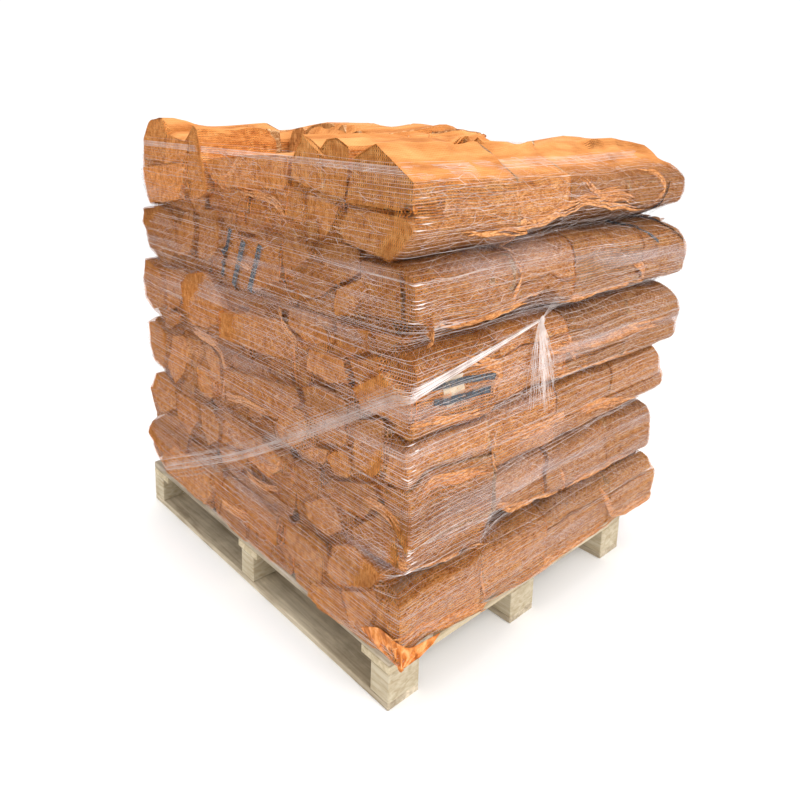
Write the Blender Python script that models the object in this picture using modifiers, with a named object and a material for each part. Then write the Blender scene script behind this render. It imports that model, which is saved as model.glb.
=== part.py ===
"""A pallet load of split ash firewood: net sacks of logs in six layers on a block pallet, wrapped in net.

The logs lie along X. The load's front, -Y, shows their sides, and its near end, -X, shows their cut ends.
Lengths are in metres, +Z is up, and the origin is at the middle of the load's base.
"""
import math
import random
from collections import namedtuple

import bmesh
import bpy
from mathutils import Vector

# Pallet
PALLET_X = 1.000
PALLET_Y = 1.200
PALLET_CENTRE = Vector((-0.045, 0.035, 0.0))  # the sacks overhang the pallet more at its far end
SKID_HEIGHT = 0.018
BLOCK_SIZE_X = 0.100
BLOCK_SIZE_Y = 0.063
BLOCK_HEIGHT = 0.078
STRINGER_WIDTH = 0.098
STRINGER_HEIGHT = 0.022
DECK_HEIGHT = 0.022
DECK_BOARD_WIDTH = 0.145
DECK_BOARDS = 5
BOARD_EDGE = 0.002
GAP = 0.0003  # between pieces that touch

BLOCK_BASE = SKID_HEIGHT + GAP
STRINGER_BASE = SKID_HEIGHT + BLOCK_HEIGHT
DECK_BASE = STRINGER_BASE + STRINGER_HEIGHT
DECK_TOP = DECK_BASE + DECK_HEIGHT

# Sacks: each layer's top, and how far its sacks reach along X and Y
Layer = namedtuple("Layer", "top x y")
LAYERS = (
    Layer(0.320, (-0.568, 0.550), (-0.615, 0.635)),
    Layer(0.500, (-0.562, 0.540), (-0.605, 0.595)),
    Layer(0.685, (-0.566, 0.550), (-0.610, 0.620)),
    Layer(0.872, (-0.570, 0.565), (-0.631, 0.641)),
    Layer(1.057, (-0.570, 0.579), (-0.631, 0.605)),
    Layer(1.325, (-0.569, 0.565), (-0.610, 0.630)),
)
ROWS = ("front", "middle", "back")
COLUMNS = ("near", "far")
SACK_GAP = 0.004
LOG_END_DEPTH = 0.032  # over which a sack's end rounds off
END_LEAN = 0.014  # how far the top and bottom of a sack's end draw back
LOG_JOIN_DEPTH = 0.022  # half the pinch where one log's end meets the next
DENT = 0.007  # deepest uneven dent in a sack
FAR_TOP_DROP = 0.030  # the far sacks of the top layer are lower

# A sack's outline across its logs: share of its width, share of its height
SACK_OUTLINE = (
    (0.10, 0.00), (0.50, 0.00), (0.90, 0.00), (0.97, 0.20), (1.00, 0.50), (0.96, 0.86), (0.84, 1.00),
    (0.67, 0.93), (0.50, 1.00), (0.33, 0.93), (0.16, 1.00), (0.04, 0.86), (0.00, 0.50), (0.03, 0.20),
)
TOP_OUTLINE = (
    (0.08, 0.00), (0.50, 0.00), (0.92, 0.00), (0.98, 0.22), (1.00, 0.45), (0.97, 0.80), (0.84, 0.96),
    (0.70, 0.88), (0.56, 1.00), (0.42, 0.88), (0.27, 0.98), (0.10, 0.78), (0.00, 0.45), (0.03, 0.20),
)
WIDEST = 0.50  # share of the height where a sack is widest
TOP_WIDEST = 0.45

# Pallet net, drawn as a coarse mesh of cords round the sacks
NET_CORD = 0.004
NET_CLEARANCE = 0.0028
NET_CORNER = 0.020
NET_BOTTOM = 0.168
NET_TOP = 1.235
NET_SIDES_X = 2
NET_SIDES_Y = 3

# Net gathered to a rope, from the back of the near end round to a knot on the front, and its loose tail
BAND_RADIUS = 0.004
BAND_OFFSET = 0.0101
BAND_START = Vector((0.0, 0.520, 0.175))
BAND_CORNER_HEIGHT = 0.800
KNOT_X = -0.160
KNOT_HEIGHT = 0.884
TAIL_LENGTH = 0.235
TAIL_RADII = (0.0050, 0.0028, 0.0030, 0.0042, 0.0050, 0.0045)
TAIL_LEAN = 0.040


def new_collection(name):
    collection = bpy.data.collections.new(name)
    bpy.context.scene.collection.children.link(collection)
    return collection


def new_material(name, colour, roughness):
    material = bpy.data.materials.new(name)
    material.use_nodes = True
    shader = material.node_tree.nodes["Principled BSDF"]
    shader.inputs["Base Color"].default_value = (*colour, 1.0)
    shader.inputs["Roughness"].default_value = roughness
    shader.inputs["Metallic"].default_value = 0.0
    return material


def add_object(name, data, collection, material):
    obj = bpy.data.objects.new(name, data)
    data.materials.append(material)
    collection.objects.link(obj)
    return obj


def add_board(name, size, centre, collection, colour, seed):
    """A sawn board or block with its edges eased, in a shade of its own."""
    bm = bmesh.new()
    bmesh.ops.create_cube(bm, size=1.0)
    bmesh.ops.scale(bm, vec=size, verts=bm.verts)
    mesh = bpy.data.meshes.new(name)
    bm.to_mesh(mesh)
    bm.free()
    shade = random.Random(seed).uniform(0.88, 1.05)
    material = new_material(name + "_wood", [min(1.0, channel * shade) for channel in colour], 0.82)
    board = add_object(name, mesh, collection, material)
    board.location = PALLET_CENTRE + Vector(centre)
    bevel = board.modifiers.new("eased_edges", "BEVEL")
    bevel.width = BOARD_EDGE
    bevel.segments = 1
    return board


def spread(count, length, width):
    """Centres of count equal boards with their outer edges on the length's ends."""
    step = (length - width) / (count - 1)
    return [-(length - width) / 2 + step * number for number in range(count)]


def add_pallet(collection):
    fresh = (0.72, 0.62, 0.43)
    weathered = (0.47, 0.40, 0.30)
    places = ("near", "middle", "far")
    ends = ("front", "middle", "back")
    across = spread(3, PALLET_X, BLOCK_SIZE_X)
    along = spread(3, PALLET_Y, BLOCK_SIZE_Y)
    stringers_along = spread(3, PALLET_Y, STRINGER_WIDTH)
    for seed, (place, x) in enumerate(zip(places, across)):
        size = (BLOCK_SIZE_X, PALLET_Y, SKID_HEIGHT)
        add_board(f"skid_{place}", size, (x, 0, SKID_HEIGHT / 2), collection, weathered, seed)
        for end, y in zip(ends, along):
            size = (BLOCK_SIZE_X, BLOCK_SIZE_Y, BLOCK_HEIGHT - 2 * GAP)
            centre = (x, y, SKID_HEIGHT + BLOCK_HEIGHT / 2)
            add_board(f"block_{place}_{end}", size, centre, collection, fresh, seed + 10)
    for seed, (end, y) in enumerate(zip(ends, stringers_along)):
        size = (PALLET_X, STRINGER_WIDTH, STRINGER_HEIGHT)
        centre = (0, y, STRINGER_BASE + STRINGER_HEIGHT / 2)
        add_board(f"stringer_{end}", size, centre, collection, weathered, seed + 20)
    for number, x in enumerate(spread(DECK_BOARDS, PALLET_X, DECK_BOARD_WIDTH)):
        size = (DECK_BOARD_WIDTH, PALLET_Y, DECK_HEIGHT - 2 * GAP)
        centre = (x, 0, DECK_BASE + DECK_HEIGHT / 2)
        add_board(f"deck_board_{number + 1}", size, centre, collection, weathered, number + 30)


def share(low, high, part):
    return low + (high - low) * part


def sack_stations(low, high):
    """Places along a sack where its outline changes, each with how much of its size it keeps there."""
    middle = (low + high) / 2
    return (
        (low, 0.88),
        (low + LOG_END_DEPTH, 0.985),
        (middle - LOG_JOIN_DEPTH, 1.0),
        (middle, 0.955),
        (middle + LOG_JOIN_DEPTH, 1.0),
        (high - LOG_END_DEPTH, 0.985),
        (high, 0.88),
    )


def add_sack(name, x_span, y_span, z_span, outline, collection, material, seed):
    """A net sack of two lengths of logs: a loft between outlines that follow its logs."""
    rng = random.Random(seed)
    middle_x = (x_span[0] + x_span[1]) / 2
    middle_y = (y_span[0] + y_span[1]) / 2
    bm = bmesh.new()
    rings = []
    for x, kept in sack_stations(*x_span):
        ring = []
        at_end = x in x_span
        for part_y, part_z in outline:
            y = share(*y_span, part_y)
            z = share(*z_span, part_z)
            dent = rng.uniform(0.0, DENT)
            y = middle_y + (y - middle_y) * kept - math.copysign(dent, y - middle_y) * (part_z > 0)
            z = z_span[0] + (z - z_span[0]) * (1.0 - (1.0 - kept) / 2) - dent * (part_z > 0.6)
            lean = END_LEAN * (2.0 * part_z - 1.0) ** 2 * at_end
            ring.append(bm.verts.new((x - math.copysign(lean, x - middle_x), y, z)))
        rings.append(ring)
    for ring, following in zip(rings, rings[1:]):
        for number in range(len(ring)):
            after = (number + 1) % len(ring)
            bm.faces.new((ring[number], ring[after], following[after], following[number]))
    bm.faces.new(rings[0])
    bm.faces.new(rings[-1])
    bmesh.ops.recalc_face_normals(bm, faces=bm.faces)
    mesh = bpy.data.meshes.new(name)
    bm.to_mesh(mesh)
    bm.free()
    return add_object(name, mesh, collection, material)


def add_sacks(collection):
    base = DECK_TOP
    for level, layer in enumerate(LAYERS, start=1):
        top_layer = level == len(LAYERS)
        outline = TOP_OUTLINE if top_layer else SACK_OUTLINE
        middle_x = (layer.x[0] + layer.x[1]) / 2
        depth = (layer.y[1] - layer.y[0]) / len(ROWS)
        for number, row in enumerate(ROWS):
            low_y = layer.y[0] + depth * number + SACK_GAP / 2 * (number > 0)
            high_y = layer.y[0] + depth * (number + 1) - SACK_GAP / 2 * (number < len(ROWS) - 1)
            mirrored = [(1.0 - y, z) for y, z in outline] if row == "back" else outline
            for column in COLUMNS:
                near = column == "near"
                x_span = (layer.x[0], middle_x - SACK_GAP / 2) if near else (middle_x + SACK_GAP / 2, layer.x[1])
                drop = FAR_TOP_DROP if top_layer and not near else 0.0
                seed = level * 100 + number * 10 + near
                rng = random.Random(seed)
                shade = rng.uniform(0.88, 1.06)
                colour = [min(1.0, channel * shade) for channel in (0.55, 0.27, 0.10)]
                name = f"sack_{level}_{row}_{column}"
                add_sack(name, x_span, (low_y, high_y), (base + GAP, layer.top - drop), mirrored,
                         collection, new_material(name + "_logs_and_net", colour, 0.8), seed)
        base = layer.top


def rounded_outline(x_span, y_span, offset):
    """Points round a layer, anticlockwise from above, standing offset outside it, with rounded corners."""
    low_x, high_x = x_span[0] - offset, x_span[1] + offset
    low_y, high_y = y_span[0] - offset, y_span[1] + offset
    inner = NET_CORNER
    corners = (
        (low_x + inner, low_y + inner, math.pi),
        (high_x - inner, low_y + inner, 1.5 * math.pi),
        (high_x - inner, high_y - inner, 0.0),
        (low_x + inner, high_y - inner, 0.5 * math.pi),
    )
    points = []
    for number, (centre_x, centre_y, start) in enumerate(corners):
        for step in range(3):
            angle = start + step * math.pi / 4
            points.append(Vector((centre_x + inner * math.cos(angle), centre_y + inner * math.sin(angle))))
        following = corners[(number + 1) % 4]
        arc_start = following[2]
        end = Vector((following[0] + inner * math.cos(arc_start), following[1] + inner * math.sin(arc_start)))
        sides = NET_SIDES_X if number % 2 == 0 else NET_SIDES_Y
        last = points[-1].copy()
        points.extend(last.lerp(end, step / sides) for step in range(1, sides))
    return points


def net_levels():
    """Heights of the net's cords, each with the layer that holds it out there."""
    levels = [(NET_BOTTOM, LAYERS[0])]
    base = DECK_TOP
    for layer in LAYERS:
        widest = TOP_WIDEST if layer is LAYERS[-1] else WIDEST
        levels.append((share(base, layer.top, widest), layer))
        base = layer.top
    levels.append((NET_TOP, LAYERS[-1]))
    return levels


def add_pallet_net(collection, material):
    """The wrap round the sacks, open between its cords, touching each layer where it is widest."""
    bm = bmesh.new()
    rings = []
    for height, layer in net_levels():
        points = rounded_outline(layer.x, layer.y, NET_CLEARANCE)
        rings.append([bm.verts.new((point.x, point.y, height)) for point in points])
    for ring, following in zip(rings, rings[1:]):
        for number in range(len(ring)):
            after = (number + 1) % len(ring)
            bm.faces.new((ring[number], ring[after], following[after], following[number]))
    mesh = bpy.data.meshes.new("pallet_net")
    bm.to_mesh(mesh)
    bm.free()
    net = add_object("pallet_net", mesh, collection, material)
    cords = net.modifiers.new("cords", "WIREFRAME")
    cords.thickness = NET_CORD
    cords.offset = 0.0
    cords.use_boundary = True
    cords.use_even_offset = True
    cords.use_replace = True
    return net


def add_tube(name, points, radii, collection, material):
    """A closed tube along points, with its own radius at each."""
    curve = bpy.data.curves.new(name, "CURVE")
    curve.dimensions = "3D"
    curve.bevel_depth = 1.0
    curve.bevel_resolution = 1
    curve.use_fill_caps = True
    spline = curve.splines.new("POLY")
    spline.points.add(len(points) - 1)
    for spline_point, point, radius in zip(spline.points, points, radii):
        spline_point.co = (*point, 1.0)
        spline_point.radius = radius
    return add_object(name, curve, collection, material)


def add_band(collection, material):
    """The gathered net: along the near end, round the near front corner and up to the knot."""
    layer = LAYERS[3]
    outline = rounded_outline(layer.x, layer.y, BAND_OFFSET)
    corner = outline[:3]
    start = Vector((corner[0].x, BAND_START.y, BAND_START.z))
    middle_y = (start.y + corner[0].y) / 2
    middle = Vector((corner[0].x, middle_y, (start.z + BAND_CORNER_HEIGHT) / 2 - 0.035))
    points = [start, middle]
    points.extend(Vector((point.x, point.y, BAND_CORNER_HEIGHT)) for point in corner)
    points.append(Vector((KNOT_X - 0.014, corner[2].y, KNOT_HEIGHT)))
    return add_tube("net_gathered_band", points, [BAND_RADIUS] * len(points), collection, material)


def add_tail(collection, material):
    """The knot and the loose end of net that hangs from it."""
    layer = LAYERS[3]
    y = layer.y[0] - BAND_OFFSET
    count = len(TAIL_RADII)
    points = []
    for number in range(count):
        part = number / (count - 1)
        points.append(Vector((KNOT_X + TAIL_LEAN * part, y, KNOT_HEIGHT + 0.006 - TAIL_LENGTH * part)))
    return add_tube("net_knot_and_tail", points, TAIL_RADII, collection, material)


def main():
    for obj in list(bpy.data.objects):
        bpy.data.objects.remove(obj, do_unlink=True)
    collection = new_collection("firewood_pallet_load")
    add_pallet(collection)
    add_sacks(collection)
    white_net = (0.85, 0.83, 0.86)
    add_pallet_net(collection, new_material("pallet_net_white", white_net, 0.5))
    add_band(collection, new_material("net_gathered_band_white", white_net, 0.45))
    add_tail(collection, new_material("net_knot_and_tail_white", white_net, 0.45))


main()
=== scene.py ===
"""The looks of a pallet load of split ash firewood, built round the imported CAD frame.

Each sack's split logs are made one by one, its orange net is a shell that clings to them, and the white
pallet net is stretched round the whole load. Lengths are in metres. The logs lie along X.
"""
import math
import random

import bpy
import numpy as np
from mathutils import Matrix, Vector, noise


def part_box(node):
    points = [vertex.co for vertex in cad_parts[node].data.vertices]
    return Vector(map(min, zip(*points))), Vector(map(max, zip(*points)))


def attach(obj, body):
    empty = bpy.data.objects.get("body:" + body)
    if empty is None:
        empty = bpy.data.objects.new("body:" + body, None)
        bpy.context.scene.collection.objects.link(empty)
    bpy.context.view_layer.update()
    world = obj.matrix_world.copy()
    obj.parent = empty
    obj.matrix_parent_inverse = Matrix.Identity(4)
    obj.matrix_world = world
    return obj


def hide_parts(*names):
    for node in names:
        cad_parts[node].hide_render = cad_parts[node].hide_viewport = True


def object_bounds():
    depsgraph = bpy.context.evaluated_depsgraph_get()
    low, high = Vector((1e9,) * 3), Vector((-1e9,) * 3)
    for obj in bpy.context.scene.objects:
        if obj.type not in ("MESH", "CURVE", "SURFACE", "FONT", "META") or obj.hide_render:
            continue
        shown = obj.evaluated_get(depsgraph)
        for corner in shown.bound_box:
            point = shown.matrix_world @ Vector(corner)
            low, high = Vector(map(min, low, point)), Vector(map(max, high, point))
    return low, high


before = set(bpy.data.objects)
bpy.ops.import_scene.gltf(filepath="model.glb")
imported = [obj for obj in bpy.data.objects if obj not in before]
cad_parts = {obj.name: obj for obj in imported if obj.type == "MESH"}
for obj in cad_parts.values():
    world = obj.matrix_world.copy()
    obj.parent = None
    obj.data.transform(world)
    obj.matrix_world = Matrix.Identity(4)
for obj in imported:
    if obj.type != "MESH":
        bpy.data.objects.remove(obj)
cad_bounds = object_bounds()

# Camera, from the photograph's vanishing lines
CAMERA_PLACE = (-1.535, -1.581, 1.362)
CAMERA_YAW = math.radians(41.4)
CAMERA_PITCH = math.radians(11.5)
CAMERA_ROLL = math.radians(1.1)
FOCAL_PIXELS = 721.0
CENTRE_PIXEL = (365.9, 254.4)
IMAGE_PIXELS = 800
SENSOR_WIDTH = 36.0

# The load
LEVELS = 6
ROWS = ("front", "middle", "back")
COLUMNS = ("near", "far")
PALLET_KINDS = ("block", "skid", "deck", "stringer")

# Logs
LOG_SECTION = 0.0066  # mean cross-section of a split log
LOG_GAP = 0.0060  # between neighbouring logs
LOG_STATIONS = {"front": 10, "middle": 4, "back": 7}
END_SCATTER = 0.030  # how unevenly the logs' ends line up at the outside
JOIN_SCATTER = 0.006  # the same inside the load
BACKING_DEPTH = 0.020
FAR_RECESSES = {1: 0.015, 2: 0.020, 3: 0.032, 4: 0.050, 5: 0.050, 6: 0.030}  # at each level's edges
FAR_BULGES = {1: 0.026, 2: 0.018, 3: 0.022, 4: 0.028, 5: 0.028, 6: 0.020}  # and in the middle of its height
TOP_DROP = 0.045  # the top sacks' general level below their highest ridges
TOP_LIMIT = 1.312
RIDGE_MARGIN = 0.012  # corners this near the top of a section are its upper side
RIDGE_HEIGHTS = (0.012, 0.044)
BACKING_LIMIT = 1.245
# Brightness of each sack's logs and net: partly its own tone, partly painted shade that darkens the far sacks
# where less light falls on them
SACK_TONES_AND_PAINTED_SHADES = {
    "near": {1: 1.00, 2: 0.90, 3: 1.04, 4: 0.96, 5: 0.82, 6: 1.00},
    "far": {1: 0.86, 2: 0.84, 3: 0.84, 4: 0.68, 5: 0.80, 6: 0.64},
}
TOP_PAINTED_LIGHT = 1.2  # painted light: the logs and nets behind the top front sacks are brighter, as where the top is lit
FRONT_UNDERCUT = 0.105  # how far the underside of a front log slants back
FRONT_EDGE_HEIGHT = 0.24  # share of the sack's height where the front log's lower edge is

# Net of the sacks
NET_SKIN = 0.0014  # the net lies this far off the logs
SKIN_RAYS = 120
SKIN_STATIONS = {"front": 26, "middle": 10, "back": 18}
CAP_RINGS = {"near": 30, "far": 16, "inner": 4}
USUAL_EASING = 0.022  # half the share of a sack in which its net goes from one length of logs to the next
WIDE_EASING = 0.080
NEAR_TOP_TIGHTNESS = 0.10
TIGHTNESS = {"front": 0.40, "middle": 0.62, "back": 0.40}  # how far the net spans the hollows between logs
CREASE = 0.0016
TOP_CREASE = 0.0050
TOP_CREASE_HEIGHT = 1.20
CAP_EASING = 3  # rounds of easing that let the net span the gaps between log ends

# Pallet net
WRAP_RAYS = 320
WRAP_LOW = 0.150
WRAP_HIGH = 1.262
WRAP_STEP = 0.0076
STRAND_WIDTH = 0.00078
CROSS_WIDTH = 0.0005
BORDER_CORDS = 9
FAINT_CORDS = 30
BRIGHT_CORDS = 26
TAIL_CORDS = 75
GLINTS = ((0.925, 1.035), (0.600, 0.705), (0.350, 0.460), (1.130, 1.200))  # heights where corner cords shine, and painted highlights are laid
GLINT_WIDTHS = (0.0004, 0.0012, 0.0020, 0.0024, 0.0020, 0.0012, 0.0004)
GLINT_CHANCE = 0.75
CORNER_SWELL_AND_GLINT = 0.50  # cords are this much thicker at the near corner, where they bunch; the extra width is also painted highlight
SWELL_AND_GLINT_REACH = 0.22
CORD_LEAN = 0.006  # how far a cord climbs on its way round
CORD_WANDER = 0.007
FINE_ABOVE = 1.03  # cords are finer above this height
FINE_SHARE = 0.62
FRONT_PART = 0.24  # of the way round, from the near corner
TIE_CHANCES = {True: 0.72, False: 0.42}  # of a tie between two cords, on the front face and elsewhere
TIE_REACHES = (0.8, 4.2)  # in rays
TIE_BOW = 0.006
VEIL_STEP = 3  # the veil has every third row of the wrap's points

# The band and its tail
BAND_HALF = 0.004  # half of the band's thickness
BAND_START_HEIGHT = 0.175
BAND_CORNER_HEIGHT = 0.800
BAND_SAG = 0.035
LEFT_WIDTHS = (0.044, 0.017)  # of the band, from its start to the corner
RIGHT_WIDTHS = (0.020, 0.002)  # from the corner to the knot
BRIGHT_WIDTHS = (0.013, 0.0015)
FAINT_CORD_WIDTHS = (0.0007, 0.001, 0.0013)
BRIGHT_CORD_WIDTHS = (0.001, 0.0014, 0.0018)
TAIL_CORD_WIDTHS = (0.0006, 0.0009, 0.0013)
KNOT_FAN = 7  # cords that spread out past the knot
KNOT_LOOPS = 12
KNOT_STEPS = 8
TAIL_LENGTH = 0.240
TAIL_STEPS = 14

# Unevenness of the stacked sacks
NEAR_END = (-0.555, 0.09)  # where a shift along an axis starts, and the length over which it grows
FRONT_SIDE = (0.40, 0.13)
BACK_SIDE = (0.42, 0.13)
FAR_END = (0.28, 0.26)
PALLET_TOP = (0.16, 0.05)
LOAD_TOP = (1.19, 0.09)
DENTS = (0.011, 0.006)  # depths of the large and the small ones
SWAY = 0.006
TOP_ROLL = 0.007
TOP_HOLD = 0.005  # forms are rounded off over this height below the limit
FAR_UNEVENNESS = 0.014
# Painted shade: darker in the creases between the levels and on the undersides of the sacks
PAINTED_CREASE_SHADE = 0.34
PAINTED_CREASE_REACH = 0.026
PAINTED_UNDER_SHADE = 0.30

# Studio
FLOOR_SIZE = 30.0
BACKGROUND_STRENGTH = 1.07
LIGHTS = (  # (name, place, target, size, power)
    ("key", (-0.5, -3.2, 3.0), (0.0, 0.0, 0.7), 2.0, 78.0),
    ("top", (-0.4, 0.2, 4.2), (0.0, 0.0, 0.7), 2.5, 72.0),
)


# Height of each level's lower front edge along the load, measured: (x, z) in millimetres
FRONT_EDGES = {
    1: ((-560, 215), (-502, 206), (-401, 186), (-292, 166), (-247, 172), (-132, 150), (278, 146),
        (560, 150)),
    2: ((-514, 361), (-437, 341), (-340, 324), (-262, 318), (-240, 396), (-146, 385), (60, 355),
        (229, 349), (560, 330)),
    3: ((-541, 584), (-471, 573), (-383, 558), (-276, 543), (-230, 520), (-50, 514), (200, 518),
        (442, 524), (560, 530)),
    4: ((-567, 738), (-484, 721), (-388, 700), (-304, 682), (-200, 702), (64, 702), (211, 696),
        (375, 690), (560, 690)),
    5: ((-497, 925), (-372, 920), (-288, 924), (-160, 940), (-97, 944), (-50, 912), (33, 903),
        (263, 902), (560, 897)),
    6: ((-560, 1130), (-421, 1122), (-225, 1103), (-150, 1107), (10, 1137), (98, 1146), (222, 1132),
        (369, 1113), (560, 1118)),
}

# Where the logs of the front sacks meet end to end, in the near sack and in the far one
JOINS = {
    1: (-0.274, 0.313),
    2: (-0.258, 0.290),
    3: (-0.278, 0.270),
    4: (-0.278, 0.300),
    5: (-0.231, 0.335),
    6: (-0.222, 0.260),
}

# The load's upper outline in the photograph, in its pixels: the top lies no higher than this anywhere
SKYLINE = (
    (143, 128), (150, 120), (154, 117), (162, 115), (173, 117), (181, 120), (190, 123), (202, 127),
    (230, 126),
    (263, 123), (267, 123), (272, 130), (289, 132), (290, 130), (313, 125), (335, 121), (350, 123),
    (373, 123),
    (378, 127), (400, 127), (413, 123), (430, 123), (453, 124), (470, 128), (481, 133), (483, 141),
    (507, 142),
    (520, 147), (528, 142), (550, 138), (563, 136), (578, 137), (590, 139), (613, 138), (633, 142),
    (653, 147),
    (667, 153), (673, 160), (688, 164), (760, 164),
)

# Rises and hollows of the top under it: (x, y, half length, half width, height)
TOP_FORMS = (
    (-0.28, 0.06, 0.20, 0.14, 0.020),
    (-0.35, -0.16, 0.24, 0.08, -0.030),
    (0.15, -0.05, 0.30, 0.13, 0.018),
    (0.32, -0.36, 0.28, 0.15, 0.030),
    (-0.10, -0.34, 0.20, 0.16, -0.016),
    (-0.05, 0.32, 0.22, 0.12, -0.022),
    (0.30, 0.25, 0.25, 0.14, 0.016),
    (-0.33, 0.30, 0.16, 0.10, -0.020),
    (0.46, 0.05, 0.14, 0.16, -0.018),
)


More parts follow.
